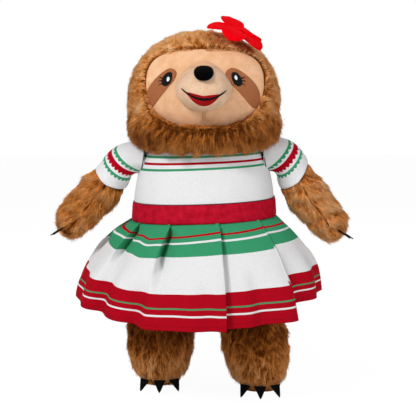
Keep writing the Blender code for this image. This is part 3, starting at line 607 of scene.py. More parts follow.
# %% [markdown]
# ## Head
# The head is a stuffed bag: a dome with nearly upright sides, drawn in at the neck. The fur
# forms a thick roll round the face, because the face panel is sewn in behind the pile. The
# cloth of the bag lies a few millimetres inside the outline that the combed fur makes.

# %% Form of the head
NECK = 0.2578
HEAD_HEIGHT, HEAD_HALF_WIDTH = 0.1257, 0.082
HEAD_FRONT, HEAD_BACK = 0.067, 0.064
HEAD_SHARES = (
    (0.000, 0.54, 0.60, 0.62),
    (0.020, 0.69, 0.74, 0.73),
    (0.060, 0.84, 0.87, 0.84),
    (0.120, 0.94, 0.95, 0.91),
    (0.215, 0.99, 0.99, 0.96),
    (0.335, 1.00, 1.00, 0.99),
    (0.480, 0.99, 0.98, 1.00),
    (0.615, 0.945, 0.94, 0.98),
    (0.738, 0.855, 0.86, 0.91),
    (0.838, 0.720, 0.73, 0.78),
    (0.905, 0.580, 0.59, 0.64),
    (0.961, 0.400, 0.42, 0.46),
    (0.992, 0.200, 0.22, 0.25),
    (1.000, 0.060, 0.07, 0.08),
)
# The head's outline from above is squarer than an ellipse, whose power is 2.
HEAD_POWER, HEAD_MEAN_RADIUS = 2.3, 0.075
HEAD_PILE = 0.0060
FACE_MIDDLE = NECK + 0.066
FACE_SHIFT, FACE_HALF_WIDTH, FACE_POWER = 0.0012, 0.0585, 3.0
FACE_UP, FACE_DOWN = 0.0365, 0.0405
# The half-sizes of the ellipsoid that the face is a part of, how far its front moves
# back for each metre of height, and how far behind it the head's cloth passes.
BULGE_ACROSS, BULGE_UP, BULGE_FORWARD, FACE_LEAN = 0.080, 0.065, 0.058, 0.16
FACE_GAP = 0.004
# The tone of the cloth that the strands stand on: dark, as painted shade under the pile.
PAINTED_SHADE_CLOTH_TONE = 0.16


def face_y(x, z):
    """The front of the face: part of an ellipsoid, leaned so that the chin comes forward."""
    up = z - FACE_MIDDLE
    inside = 1 - (x / BULGE_ACROSS) ** 2 - (up / BULGE_UP) ** 2
    return -BULGE_FORWARD * np.sqrt(np.maximum(inside, 0)) + FACE_LEAN * up


def face_outline(turn, grow=0.0):
    """The border of the face, a rounded oblong that narrows downwards, as (x, z)."""
    s = np.sin(turn)
    up = signed_power(s, 2 / FACE_POWER)
    x = FACE_SHIFT + (FACE_HALF_WIDTH + grow) * signed_power(np.cos(turn), 2 / FACE_POWER)
    x = x * (1 - 0.10 * np.maximum(0, -up))
    return x, FACE_MIDDLE + up * np.where(s > 0, FACE_UP + grow, FACE_DOWN + grow)


def face_share(x, z):
    """How far a point is from the middle of the face, as a share of the way to its border."""
    return share_of_way(face_outline, FACE_MIDDLE, x, z)


def head_shape(u, v):
    """The head's cloth: u turns round it, v climbs it. Inside the face's border the cloth
    dips back behind the face panel, so that the border becomes a round roll."""
    w, f, b = table(HEAD_SHARES, v)
    shrink = 1 - HEAD_PILE / HEAD_MEAN_RADIUS
    x, y = oblong(
        2 * math.pi * u,
        w * HEAD_HALF_WIDTH * shrink,
        f * HEAD_FRONT * shrink,
        b * HEAD_BACK * shrink,
        HEAD_POWER,
    )
    z = NECK + HEAD_PILE * 0.4 + v * (HEAD_HEIGHT - HEAD_PILE * 1.4)
    dip = 1 - smooth(1.0, 1.07, face_share(x, z))
    behind = face_y(x, z) + FACE_GAP
    y = np.where((y < 0) & (y < behind), y + (behind - y) * dip, y)
    return np.stack([x, y, z], -1)


# %% [markdown]
# A brush has run from the face outwards and down the back of the head. The pile isn't clipped
# to one length: it is longest in the beard, and short where it would hide the face.

# %% Fur of the head
HEAD_STRANDS, HEAD_STRAND_RADIUS = 130000, 0.00026
FLOWER_FOOT = np.array([0.036, -0.018, 0.376])


def head_comb(root, out):
    """Away from the middle of the face in front, and down the back of the head."""
    way = root - np.array([0, -0.052, FACE_MIDDLE])
    way /= np.linalg.norm(way, axis=1, keepdims=True)
    back = smooth(-0.02, 0.05, root[:, 1])[:, None]
    below = smooth(0.31, 0.27, root[:, 2])[:, None]
    return way + np.array([0, 0, -1.6]) * back + np.array([0, 0, -0.8]) * below


def head_lift(root):
    """Angles of the strands over the cloth: the beard stands off where the head draws in."""
    low = smooth(0.284, 0.266, root[:, 2])
    return 44 + 14 * low, 10 + 26 * low


def head_length(root):
    """Pile length: 7 mm on the crown, 9 mm at the cheeks and up to 14 mm in the beard. It
    is shorter at the neck, under the flower and where it meets the face."""
    long = 0.0088 + 0.0050 * smooth(0.300, 0.284, root[:, 2])
    long = long - 0.0032 * smooth(0.276, 0.264, root[:, 2])
    long = long - 0.0018 * smooth(0.350, 0.375, root[:, 2])
    rim = smooth(1.16, 1.02, face_share(root[:, 0], root[:, 2])) * (root[:, 1] < 0)
    flower = np.linalg.norm(root - FLOWER_FOOT, axis=1)
    return long * (1 - 0.35 * rim) * (1 - 0.45 * smooth(0.032, 0.020, flower))


def head_painted_light(root):
    """Painted light and shade: lighter on the crown and the toy's left side, darker in the
    beard in front, most just under the face.
    """
    crown = 0.09 * smooth(0.330, 0.366, root[:, 2])
    beard = 0.36 - 0.10 * smooth(0.278, 0.266, root[:, 2])
    beard = beard * smooth(0.303, 0.282, root[:, 2]) * smooth(0.02, -0.02, root[:, 1])
    return 0.03 + crown - beard + 0.05 * smooth(0.0, 0.06, root[:, 0])


def outside_face(root):
    """Whether a root is on the back of the head, or past the border of the face."""
    return (root[:, 1] > 0) | (face_share(root[:, 0], root[:, 2]) > 1.03)


u, v = turns_and_rows(240, 130)
head = grid_piece(
    "head_cloth",
    head_shape(u, v),
    FUR,
    "head",
    "brown_long_pile_plush",
    ["head_plush"],
    marks={"tone": np.full(u.shape, PAINTED_SHADE_CLOTH_TONE)},
)
strands = grow_fur(
    head_shape,
    HEAD_STRANDS,
    head_comb,
    head_length,
    head_lift,
    seed=11,
    keep=outside_face,
    # Painted light on the crown and the toy's left side, painted shade in the beard under the
    # face.
    shade=head_painted_light,
    radius=HEAD_STRAND_RADIUS,
)
fur_pieces("head_fur", strands, "head")

# %% [markdown]
# ## Face panel and muzzle
# The face is one piece of short-pile plush, stretched over the stuffing and closed by an
# upright seam under the chin. It is drawn as rings from the middle to the border, so that the
# border can follow the outline exactly, and it reaches a little way under the fur.

# %% Face panel
PANEL_GROW, PANEL_THICKNESS = 0.0015, 0.0022
CHIN_SEAM_X = -0.001


def face_panel(u, v):
    """v runs from the middle to the border, u turns round; the chin seam is a fine groove."""
    ox, oz = face_outline(2 * math.pi * u, PANEL_GROW)
    x, z = ox * v, FACE_MIDDLE + (oz - FACE_MIDDLE) * v
    seam = hill(x - CHIN_SEAM_X, 0.0008) * smooth(0.3035, 0.3000, z) * 0.0026
    pucker = hill(x - CHIN_SEAM_X, 0.007) * smooth(0.306, 0.292, z) * 0.0022
    return np.stack([x, face_y(x, z) + seam + pucker, z], -1)


u, v = turns_and_rows(480, 60, first=0.01)
front = face_panel(u, v)
panel = grid_piece(
    "face_cloth",
    shell(front, front + np.array([0, PANEL_THICKNESS, 0])),
    PEACH,
    "head",
    "peach_short_pile_plush",
    ["face_panel"],
)

# %% [markdown]
# The muzzle is a stuffed dome of paler plush sewn on the face. A sphere pressed on the face
# would be too round: the real one is flat in the middle and steep at its rim, so its height
# follows a power of the way to the rim.

# %% Muzzle
MUZZLE_MIDDLE = FACE_MIDDLE + 0.001
MUZZLE_HALF_WIDTH, MUZZLE_UP, MUZZLE_DOWN, MUZZLE_POWER = 0.0285, 0.0255, 0.0245, 2.15
MUZZLE_LIFT, MUZZLE_RISE = 0.0011, 0.027


def muzzle_outline(turn):
    """A rounded oblong that narrows upwards, towards the bridge of the nose."""
    s = np.sin(turn)
    up = signed_power(s, 2 / MUZZLE_POWER)
    x = MUZZLE_HALF_WIDTH * signed_power(np.cos(turn), 2 / MUZZLE_POWER)
    x = x * (1 - 0.36 * np.maximum(0, up))
    return x, MUZZLE_MIDDLE + up * np.where(s > 0, MUZZLE_UP, MUZZLE_DOWN)


def muzzle_y(x, z):
    """The stuffed dome: the face's surface, raised most in the middle and round at the rim."""
    share = np.minimum(share_of_way(muzzle_outline, MUZZLE_MIDDLE, x, z), 1)
    soft = 0.55 + 0.30 * smooth(0.012, 0.026, z - MUZZLE_MIDDLE)
    return face_y(x, z) - MUZZLE_LIFT - MUZZLE_RISE * (1 - share**3) ** soft


def muzzle(u, v):
    """Points of the dome: u turns round it, and v runs from its middle to its rim."""
    ox, oz = muzzle_outline(2 * math.pi * u)
    x, z = ox * v, MUZZLE_MIDDLE + (oz - MUZZLE_MIDDLE) * v
    return np.stack([x, muzzle_y(x, z), z], -1)


u, v = turns_and_rows(160, 48)
v = 1 - v**2 * 0.99
front = muzzle(u, v)
rim = muzzle(u[:1], np.full_like(u[:1], 0.97)) + np.array([0, 0.004, 0])
both = np.concatenate([rim, front])
# Above this line the muzzle is the face's colour, because its seam hides beside the nose.
pale = smooth(0.0225, 0.0165, both[..., 2] - MUZZLE_MIDDLE)
snout = grid_piece(
    "muzzle_plush",
    both,
    CREAM,
    "head",
    "cream_short_pile_plush",
    ["muzzle"],
    marks={"pale": pale},
)

# %% [markdown]
# The nose is a small pad of black plush, stuffed by itself and sewn on the muzzle. It stands
# on the muzzle's surface, so it moves with it when that surface changes.

# %% Nose
NOSE_MIDDLE = FACE_MIDDLE + 0.0148
NOSE_HALF_WIDTH, NOSE_HALF_HEIGHT, NOSE_POWER = 0.0099, 0.00735, 2.5
NOSE_LIFT, NOSE_RISE = 0.0015, 0.007


def nose(u, v):
    """A small stuffed pad of black plush: an oblong outline and a round crown."""
    up = signed_power(np.sin(2 * math.pi * u), 2 / NOSE_POWER)
    ox = NOSE_HALF_WIDTH * signed_power(np.cos(2 * math.pi * u), 2 / NOSE_POWER)
    x, z = ox * (1 - 0.16 * np.maximum(0, -up)) * v, NOSE_MIDDLE + NOSE_HALF_HEIGHT * up * v
    return np.stack([x, muzzle_y(x, z) - NOSE_LIFT - NOSE_RISE * (1 - v**2.4) ** 0.5, z], -1)


u, v = turns_and_rows(96, 30)
v = 1 - v**2 * 0.98
front = nose(u, v)
rim = nose(u[:1], np.full_like(u[:1], 0.95)) + np.array([0, 0.0065, 0])
nose_piece = grid_piece(
    "nose_plush",
    np.concatenate([rim, front]),
    BLACK,
    "head",
    "black_short_pile_plush",
    ["nose"],
)

# %% [markdown]
# ## Embroidery
# The eyes, their patches and the mouth are satin stitch, which lies half a millimetre proud of
# the plush. Each outline is a short list of points with a smooth closed curve through them.

# %% Embroidered pads


def closed_curve(points, count):
    """A smooth closed curve through points: between two of them, a cubic whose slopes are
    half the step from the point before to the point after (Catmull-Rom)."""
    p = np.array(points, float)
    t = np.arange(count) / count * len(p)
    i = t.astype(int)
    f = (t - i)[:, None]
    a, b, c, d = [p[(i + k) % len(p)] for k in (-1, 0, 1, 2)]
    m0, m1 = (c - a) / 2, (d - b) / 2
    return (
        (2 * f**3 - 3 * f**2 + 1) * b
        + (f**3 - 2 * f**2 + f) * m0
        + (3 * f**2 - 2 * f**3) * c
        + (f**3 - f**2) * m1
    )


def embroidered(name, outline, lift, material, slot, replaces, high=0.0006):
    """A low pad inside an outline on the face: flat on top, rounded down at its border."""
    middle = outline.mean(0)
    v = np.array([1.0, 0.99, 0.95, 0.85, 0.6, 0.3, 0.02])[:, None, None]
    places = middle + (outline - middle) * v
    rise = lift + high * np.array([0.0, 0.5, 0.85, 1, 1, 1, 1])[:, None]
    x, z = places[..., 0], places[..., 1]
    front = np.stack([x, face_y(x, z) - rise, z], -1)
    back = front[:1] + np.array([0, lift + 0.0012, 0])
    points = np.concatenate([back, front])
    return grid_piece(name, points, material, "head", slot, [replaces])


# %% Outlines of the eyes
PATCH_POINTS = [
    (0.0232, 0.3385),
    (0.0290, 0.3432),
    (0.0370, 0.3412),
    (0.0480, 0.3330),
    (0.0565, 0.3225),
    (0.0585, 0.3120),
    (0.0560, 0.3030),
    (0.0505, 0.3035),
    (0.0420, 0.3130),
    (0.0330, 0.3230),
    (0.0255, 0.3310),
]
EYE_POINTS = [
    (0.0326, 0.3390),
    (0.0365, 0.3385),
    (0.0402, 0.3350),
    (0.0419, 0.3300),
    (0.0412, 0.3262),
    (0.0379, 0.3250),
    (0.0341, 0.3275),
    (0.0318, 0.3320),
    (0.0313, 0.3365),
]
GLINT_POINTS = [
    (0.0344, 0.3352),
    (0.0358, 0.3358),
    (0.0371, 0.3342),
    (0.0372, 0.3318),
    (0.0358, 0.3312),
    (0.0343, 0.3330),
]
# The two eyes aren't quite alike, as the photograph shows: on the toy's left the patch and
# the eye are shifted in, and on its right the patch is narrower and leans outwards.
SHIFTS = {
    "left": ((-0.0013, 0), (-0.0034, 0), (-0.0034, 0)),
    "right": ((0, 0), (0.0005, 0), (0.0002, -0.0014)),
}


def narrowed(points, lean=0.105, low=0.303, cut=0.18, across_x=0.785, across_z=0.62):
    """An outline leaned outwards by a tenth of its height, and drawn in across itself:
    the distance from its long axis is cut by 18%."""
    x, z = np.array(points).T
    x = x + lean * (z - low)
    across = across_x * (x - x.mean()) + across_z * (z - z.mean())
    return np.stack([x - cut * across_x * across, z - cut * across_z * across], 1)


# %% Eyes and patches
PATCH_LIFT, EYE_LIFT, GLINT_LIFT = 0.0003, 0.0009, 0.0018
for side_name, side in SIDES:
    mirror = np.array([side, 1])
    patch_points = PATCH_POINTS if side > 0 else narrowed(PATCH_POINTS)
    patch_shift, eye_shift, glint_shift = SHIFTS[side_name]
    embroidered(
        f"eye_patch_stitch_{side_name}",
        (closed_curve(patch_points, 96) + patch_shift) * mirror,
        PATCH_LIFT,
        BROWN_THREAD,
        "brown_embroidery",
        f"eye_patch_{side_name}",
    )
    embroidered(
        f"eye_stitch_{side_name}",
        (closed_curve(EYE_POINTS, 64) + eye_shift) * mirror,
        EYE_LIFT,
        BLACK_THREAD,
        "black_embroidery",
        f"eye_{side_name}",
        high=0.0008,
    )
    embroidered(
        f"eye_glint_stitch_{side_name}",
        (closed_curve(GLINT_POINTS, 40) + glint_shift) * mirror,
        GLINT_LIFT,
        WHITE_THREAD,
        "white_embroidery",
        f"eye_glint_{side_name}",
        high=0.0005,
    )

# %% [markdown]
# The lashes and the mouth are single rows of thread. A lash tapers to a point, as the needle
# pulls it, and the lips are bands of stitches that end in the corners of the mouth.

# %% Eyelashes
# Three short rows of thread leave each eye on its outer side: start and end, as (x, z).
LASH_RADIUS = 0.00085
LASHES = (
    ((0.0407, 0.3325), (0.0452, 0.3334)),
    ((0.0412, 0.3300), (0.0462, 0.3298)),
    ((0.0408, 0.3275), (0.0455, 0.3258)),
)
a, t = turns_and_rows(8, 12)
a = 2 * math.pi * a
for side_name, side in SIDES:
    _, (eye_shift, _), _ = SHIFTS[side_name]
    for number, ((x0, z0), (x1, z1)) in enumerate(LASHES):
        thick = LASH_RADIUS * (1 - 0.75 * t)
        x = side * (x0 + (x1 - x0) * t + eye_shift)
        z = z0 + (z1 - z0) * t + 0.0004 * np.sin(math.pi * t) + thick * np.cos(a)
        points = np.stack([x, face_y(x, z) - 0.0010 - thick * np.sin(a), z], -1)
        name = f"eyelash_stitch_{side_name}_{number + 1}"
        grid_piece(name, points, BLACK_THREAD, "head", "black_embroidery")

# %% Mouth
SMILE_HALF_WIDTH, SMILE_DROP, SMILE_RISE, SMILE_TILT = 0.0225, 0.0108, 0.0095, 0.05
THREAD_AT_CORNER, THREAD_SWELL = 0.0004, 0.0012
LIP_HALF_WIDTH, LIP_MIDDLE, LIP_GAP = 0.0155, -0.0005, 0.0009
# How far each lip's outer edge is from the smile at the corners, and how much further
# it is in the middle.
UPPER_LIP, LOWER_LIP = (0.0012, 0.0030), (0.0014, 0.0056)


def smile_z(x):
    """The line of the mouth: a parabola through its corners, sewn three degrees askew."""
    rise = SMILE_RISE * (np.abs(x) / SMILE_HALF_WIDTH) ** 2
    return FACE_MIDDLE - SMILE_DROP + rise - SMILE_TILT * x


def stitched_band(name, x, low, high, material, slot, replaces):
    """A band of stitches between two curves on the muzzle, rounded down at its borders."""
    v = np.array([0.0, 0.0, 0.25, 0.5, 0.75, 1.0, 1.0])[:, None]
    rise = np.array([-0.0008, 0.0004, 0.0010, 0.0012, 0.0010, 0.0004, -0.0008])[:, None]
    z = low + (high - low) * v
    xs = np.broadcast_to(x, z.shape)
    points = np.stack([xs, muzzle_y(xs, z) - rise, z], -1)
    points = np.swapaxes(points, 0, 1)
    return grid_piece(name, points, material, "head", slot, [replaces])


x = np.linspace(-SMILE_HALF_WIDTH, SMILE_HALF_WIDTH, 81)
full = np.sqrt(np.maximum(0, 1 - (x / 0.0226) ** 2))
half = THREAD_AT_CORNER + THREAD_SWELL * full**1.2
stitched_band(
    "smile_stitch",
    x,
    smile_z(x) - half,
    smile_z(x) + half,
    BLACK_THREAD,
    "black_embroidery",
    "smile_line",
)
x = np.linspace(LIP_MIDDLE - LIP_HALF_WIDTH, LIP_MIDDLE + LIP_HALF_WIDTH, 81)
at = (x - LIP_MIDDLE) / LIP_HALF_WIDTH
bow = np.abs(1 - at**2) ** 0.7 * (1 - 0.25 * hill(at, 0.25))
stitched_band(
    "lip_upper_stitch",
    x,
    smile_z(x) + LIP_GAP,
    smile_z(x) + UPPER_LIP[0] + UPPER_LIP[1] * bow,
    RED_THREAD,
    "red_embroidery",
    "lip_upper",
)
stitched_band(
    "lip_lower_stitch",
    x,
    smile_z(x) - LOWER_LIP[0] - LOWER_LIP[1] * (1 - at**2),
    smile_z(x) - LIP_GAP,
    RED_THREAD,
    "red_embroidery",
    "lip_lower",
)

# %% [markdown]
# ## Arms
# Each arm is a stuffed sausage of long-pile plush that comes out of a short sleeve and ends
# in a round hand. A seam runs down its front, and the pile parts along it.

# %% Form of the arms
SHOULDER_Z, ARMHOLE_X = 0.2445, 0.0615
SLOPES = {1: math.radians(54.5), -1: math.radians(50)}
STRAIGHT, BEND_LENGTH = 0.0100, 0.0222
BEND_END = STRAIGHT + BEND_LENGTH
SLEEVE_END = BEND_END + 0.0120
HAND_START = SLEEVE_END + 0.0540
HAND_RADIUS, LIMB_PILE = 0.0225, 0.0048
# The arm's cloth starts inside the sleeve, and is thinner there.
ARM_START, ARM_IN_SLEEVE = 0.030, 0.0205
PARTING_WIDTH, PARTING_DEPTH = 0.38, 0.0026
# How much slimmer the arm grows on its under side, towards the hand.
SLIMMER = 0.0050
# How much lower the sleeve's hem hangs in front, how much shorter each sleeve is on top of
# the arm than its even hem would be, and how far under the hem the fur goes on.
HEM_BOW, TRIM, FUR_UNDER_HEM = 0.0062, {1: 0.0100, -1: 0.0}, 0.0025


def arm_path(distance, side):
    """The arm's middle line: straight out, round a bend, then straight down and out. Gives
    x, z and the slope at a distance from the armhole. The toy's right arm stands off more."""
    slope = SLOPES[side]
    bend = BEND_LENGTH / slope
    bent = np.clip(distance - STRAIGHT, 0, BEND_LENGTH) / bend
    past = np.maximum(distance - BEND_END, 0)
    x = ARMHOLE_X + np.minimum(distance, STRAIGHT) + bend * np.sin(bent)
    z = SHOULDER_Z - bend * (1 - np.cos(bent)) - past * math.sin(slope)
    return x + past * math.cos(slope), z, bent


def tube(distance, angle, radius, side):
    """Points round the arm's middle line: angle 0 is behind it, half a turn is in front."""
    x, z, slope = arm_path(distance, side)
    return np.stack(
        [
            side * (x + radius * np.sin(slope) * np.sin(angle)),
            radius * np.cos(angle),
            z + radius * np.cos(slope) * np.sin(angle),
        ],
        -1,
    )


def arm_shape(side):
    """The arm's cloth from inside the sleeve to the hand: a tube, then half a ball."""

    def shape(u, v):
        reach = v * (HAND_START + HAND_RADIUS - LIMB_PILE - ARM_START) + ARM_START
        angle = 2 * math.pi * u
        past = np.clip((reach - HAND_START) / (HAND_RADIUS - LIMB_PILE), 0, 0.9999)
        full = HAND_RADIUS * (0.90 + 0.10 * smooth(SLEEVE_END, SLEEVE_END + 0.02, reach))
        full = np.where(reach < SLEEVE_END + 0.002, ARM_IN_SLEEVE, full) - LIMB_PILE
        parting = hill(angle - math.pi, PARTING_WIDTH) * PARTING_DEPTH
        parting = parting * smooth(HAND_START + 0.018, HAND_START, reach)
        turn = angle if side > 0 else -angle
        slim = SLIMMER * np.maximum(-np.sin(turn), 0) * smooth(0.060, 0.110, reach)
        radius = (full - parting - slim) * np.sqrt(1 - past**2)
        return tube(reach, turn, radius, side)

    return shape


# %% [markdown]
# The fur of an arm is combed towards the hand and away from the seam. It stops at the
# sleeve's hem, because strands that start under the cloth would poke through it.

# %% Arms with their fur
ARM_STRANDS, ARM_PILE_LENGTH, ARM_LIFT = 26000, 0.0112, (33, 6)


def arm_comb(side):
    """Down the arm, and away from the parting on its front."""

    def comb(root, out):
        slope = SLOPES[side]
        down = np.array([side * math.cos(slope), 0, -math.sin(slope)])
        across = np.array([side * math.sin(slope), 0, math.cos(slope)])
        x, z, _ = arm_path(0.07, side)
        mid = np.array([side * x, 0, z])
        off = (root - mid) @ across
        return down + np.outer(np.sign(off) * 0.35 * (root[:, 1] < 0), across)

    return comb


def below_hem(side):
    """Whether a root is past the sleeve's hem, which hangs lowest in front."""

    def keep(root):
        x, z, _ = arm_path(SLEEVE_END, side)
        slope = SLOPES[side]
        out, up = root[:, 0] * side - x, root[:, 2] - z
        past = out * math.cos(slope) - up * math.sin(slope)
        above = out * math.sin(slope) + up * math.cos(slope)
        past = past + TRIM[side] * (0.5 + 0.5 * np.clip(above / HAND_RADIUS, -1, 1))
        return past > HEM_BOW * (-root[:, 1] / HAND_RADIUS) - FUR_UNDER_HEM

    return keep


u, v = turns_and_rows(96, 90)
for side_name, side in SIDES:
    shape = arm_shape(side)
    arm = grid_piece(
        f"arm_cloth_{side_name}",
        shape(u, v),
        FUR,
        f"arm_{side_name}",
        "brown_long_pile_plush",
        [f"arm_plush_{side_name}"],
        marks={"tone": np.full(u.shape, PAINTED_SHADE_CLOTH_TONE)},
    )
    # The pile is painted lighter on the toy's left arm and darker on its right: painted light and
    # shade.
    strands = grow_fur(
        shape,
        ARM_STRANDS,
        arm_comb(side),
        ARM_PILE_LENGTH,
        ARM_LIFT,
        seed=31 + side,
        keep=below_hem(side),
        shade=lambda root, side=side: np.full(len(root), -0.01 + 0.06 * side),
        pulls=(0.20, 0.22),
    )
    fur_pieces(f"arm_fur_{side_name}", strands, f"arm_{side_name}")

# %% [markdown]
# ## Legs
# The legs are short and stand apart, one a little forward. The sole is flat, and the pile is
# clipped round it. Towards the hip, under the skirt, the pile is painted darker: painted
# shadow of the skirt.

# %% Form of the legs
HIP_Z, HIP_X, HIP_RADIUS = 0.118, 0.047, 0.026
SOLE_Z, ROUND_TOP = 0.0022, 0.86
LEG_SHARES = (
    (0.000, 0.46, 0.30, 0.62),
    (0.030, 0.58, 0.48, 0.76),
    (0.110, 0.74, 0.86, 0.90),
    (0.170, 0.83, 1.00, 0.95),
    (0.250, 0.92, 0.98, 0.99),
    (0.335, 0.985, 0.94, 1.00),
    (0.460, 1.00, 0.91, 1.00),
    (0.575, 0.97, 0.87, 0.97),
    (0.660, 0.87, 0.79, 0.88),
    (0.745, 0.76, 0.70, 0.80),
    (0.830, 0.7283, 0.6753, 0.7761),
    (1.000, 0.7283, 0.6753, 0.7761),
)
LEG_HALF_WIDTH, FOOT_FRONT, FOOT_BACK, FOOT_POWER = 0.0357, 0.0385, 0.0335, 2.2
FEET = {"left": (0.060, -0.014), "right": (0.047, 0.014)}


def leg_shape(side_name, side):
    """The leg's cloth: v climbs from the flat sole to the hip, then over a round top."""
    foot_x, foot_y = FEET[side_name]

    def shape(u, v):
        share = np.clip(v / ROUND_TOP, 0, 1)
        over = np.clip((v - ROUND_TOP) / (1 - ROUND_TOP), 0, 0.9999)
        w, f, b = table(LEG_SHARES, share)
        inset = LIMB_PILE * smooth(-0.02, 0.10, share)
        cap = np.sqrt(1 - over**2)
        x, y = oblong(
            2 * math.pi * u,
            (w * LEG_HALF_WIDTH - inset) * cap,
            (f * FOOT_FRONT - inset) * cap,
            (b * FOOT_BACK - inset) * cap,
            FOOT_POWER - 0.2 * share,
        )
        x = x + side * (foot_x + (HIP_X - foot_x) * share)
        z = SOLE_Z + share * (HIP_Z - SOLE_Z) + over * (HIP_RADIUS - LIMB_PILE)
        return np.stack([x, y + foot_y * (1 - share), z], -1)

    return shape


# %% [markdown]
# The fur of a leg hangs straight down, and turns outwards where it meets the floor. Strands
# that would reach into the floor are lifted on to it, as the toy's own weight does.

# %% Legs with their fur
LEG_STRANDS, LEG_LIFT = 27000, (42, 14)


def leg_comb(root, out):
    """Down the leg, and outwards over the foot."""
    low = smooth(0.035, 0.010, root[:, 2])[:, None]
    return np.array([0, 0, -1.0]) * (1 - 0.7 * low) + out * np.array([1, 1, 0]) * 0.9 * low


def leg_length(root):
    """Pile length: 10 mm on the leg, and clipped to 4 mm round the sole."""
    return 0.0098 - 0.0062 * smooth(0.026, 0.009, root[:, 2])


def leg_painted_shadow(root):
    """Painted shadow of the skirt: the pile's tone grows darker towards the hip."""
    return 0.01 - 0.50 * smooth(0.032, 0.072, root[:, 2])


def below_hip(root):
    """Whether a root is below the hip and, in front, above the edge of the sole."""
    return (root[:, 2] < HIP_Z) & ((root[:, 2] > 0.0055) | (root[:, 1] > -0.015))


def above_floor(strands):
    """Lifts strands that would reach into the floor: lowest roots, middles and tips."""
    for places, lowest in zip(strands, (0.0008, 0.0012, 0.0006)):
        places[:, 2] = np.maximum(places[:, 2], lowest)
    return strands


u, v = turns_and_rows(112, 90)
for side_name, side in SIDES:
    shape = leg_shape(side_name, side)
    leg = grid_piece(
        f"leg_cloth_{side_name}",
        shape(u, v),
        FUR,
        f"leg_{side_name}",
        "brown_long_pile_plush",
        [f"leg_plush_{side_name}"],
        marks={"tone": np.full(u.shape, PAINTED_SHADE_CLOTH_TONE)},
    )
    strands = grow_fur(
        shape,
        LEG_STRANDS,
        leg_comb,
        leg_length,
        LEG_LIFT,
        seed=51 + side,
        keep=below_hip,
        # The legs' pile carries painted shadow of the skirt towards the hip.
        shade=leg_painted_shadow,
    )
    fur_pieces(f"leg_fur_{side_name}", above_floor(strands), f"leg_{side_name}")

# %% [markdown]
# ## Body and dress
# The body is a stuffed bag, nearly hidden. Over it comes the dress: a bodice cut close, a
# crimson band at the waist, and a skirt that is folded into knife pleats before it is sewn to
# the band.

# %% Body under the dress
SEAT, NECK_TOP = 0.121, 0.2575
BODY_BOTTOM, BODY_TOP = 0.1235, 0.2560
TORSO_HALF_WIDTH, TORSO_FRONT, TORSO_BACK, TORSO_POWER = 0.0735, 0.060, 0.056, 2.2
TORSO_SHARES = (
    (0.00, 0.60, 0.42, 0.44),
    (0.03, 0.79, 0.66, 0.66),
    (0.09, 0.92, 0.83, 0.84),
    (0.20, 0.98, 0.95, 0.97),
    (0.34, 1.00, 1.00, 1.00),
    (0.56, 0.98, 0.94, 0.90),
    (0.68, 0.965, 0.88, 0.85),
    (0.80, 0.925, 0.80, 0.80),
    (0.90, 0.87, 0.74, 0.75),
    (1.00, 0.78, 0.68, 0.69),
)


def torso(u, z, outset=0.0):
    """A level ring of the body, grown by outset. u is 0 at the back and 0.5 in front."""
    w, f, b = table(TORSO_SHARES, (z - SEAT) / (NECK_TOP - SEAT))
    x, y = oblong(
        2 * math.pi * (u + 0.25),
        w * TORSO_HALF_WIDTH + outset,
        f * TORSO_FRONT + outset,
        b * TORSO_BACK + outset,
        TORSO_POWER,
    )
    return np.stack([x, y, z + 0 * x], -1)


u, v = turns_and_rows(128, 60)
body = grid_piece(
    "body_cloth",
    torso(u, BODY_BOTTOM + v * (BODY_TOP - BODY_BOTTOM), -0.0012),
    FUR,
    "torso",
    "brown_long_pile_plush",
    ["torso_plush"],
    marks={"tone": np.full(u.shape, 0.35)},
)

# %% [markdown]
# The bodice is sewn a little smaller than the body and stretched over it, so it has the
# body's form, a cloth's thickness further out. The belt is a second, narrower ring over it.

# %% Bodice and belt
BELT_TOP, BELT_BOTTOM = 0.205, 0.1858
CLOTH, DRESS_TILT, BAND_TILT = 0.0012, 0.035, 0.033
# How far the inside and the outside of each ring lie from the body, in metres.
BODICE_IN, BODICE_OUT, BELT_IN, BELT_OUT = 0.0007, 0.0019, 0.0022, 0.0031
# The bodice is drawn into this many soft folds at the belt, and the belt is fuller in the
# middle of its height than at its edges.
BODICE_FOLDS, FOLD_DEPTH, BELT_FULLER = 9, 0.0004, 0.0007


def tilted(points):
    """Lifts the toy's left side a little: the dress sits askew by two degrees at the waist."""
    x, z = points[..., 0], points[..., 2]
    low = smooth(0.258, 0.215, z)
    return np.stack([x, points[..., 1], z + DRESS_TILT * x * low], -1)


def print_height(u, z):
    """Height over the belt's lower edge, in tenths of a metre, along the print's own tilt."""
    return 10 * (z - BELT_BOTTOM - BAND_TILT * torso(u, z)[..., 0])


u, v = turns_and_rows(192, 50)
z = BELT_BOTTOM + 0.001 + v * (NECK_TOP - BELT_BOTTOM - 0.001)
folds = np.sin(2 * math.pi * u * BODICE_FOLDS + 3 * np.sin(2 * math.pi * u * 2))
drawn = FOLD_DEPTH * folds * (1 - v) ** 2
printed = print_height(u, z)
bodice = grid_piece(
    "bodice_cloth",
    shell(tilted(torso(u, z, BODICE_OUT + drawn)), tilted(torso(u, z, BODICE_IN + drawn))),
    BODICE_CLOTH,
    "torso",
    "white_knit_cloth",
    ["bodice"],
    round_rows=True,
    marks={"drop": shell(printed, printed)},
)

u, v = turns_and_rows(192, 14)
z = BELT_BOTTOM + v * (BELT_TOP - BELT_BOTTOM)
round_edge = BELT_FULLER * (1 - (2 * v - 1) ** 6)
belt = grid_piece(
    "belt_cloth",
    shell(tilted(torso(u, z, BELT_OUT + round_edge)), tilted(torso(u, z, BELT_IN))),
    BELT_CLOTH,
    "torso",
    "crimson_knit_cloth",
    ["belt_band"],
    round_rows=True,
)

# %% [markdown]
# A dress like this opens at the back, where one edge laps over the other as a narrow strip.
# The photograph shows only the front, so the strip's place and width are the usual ones.

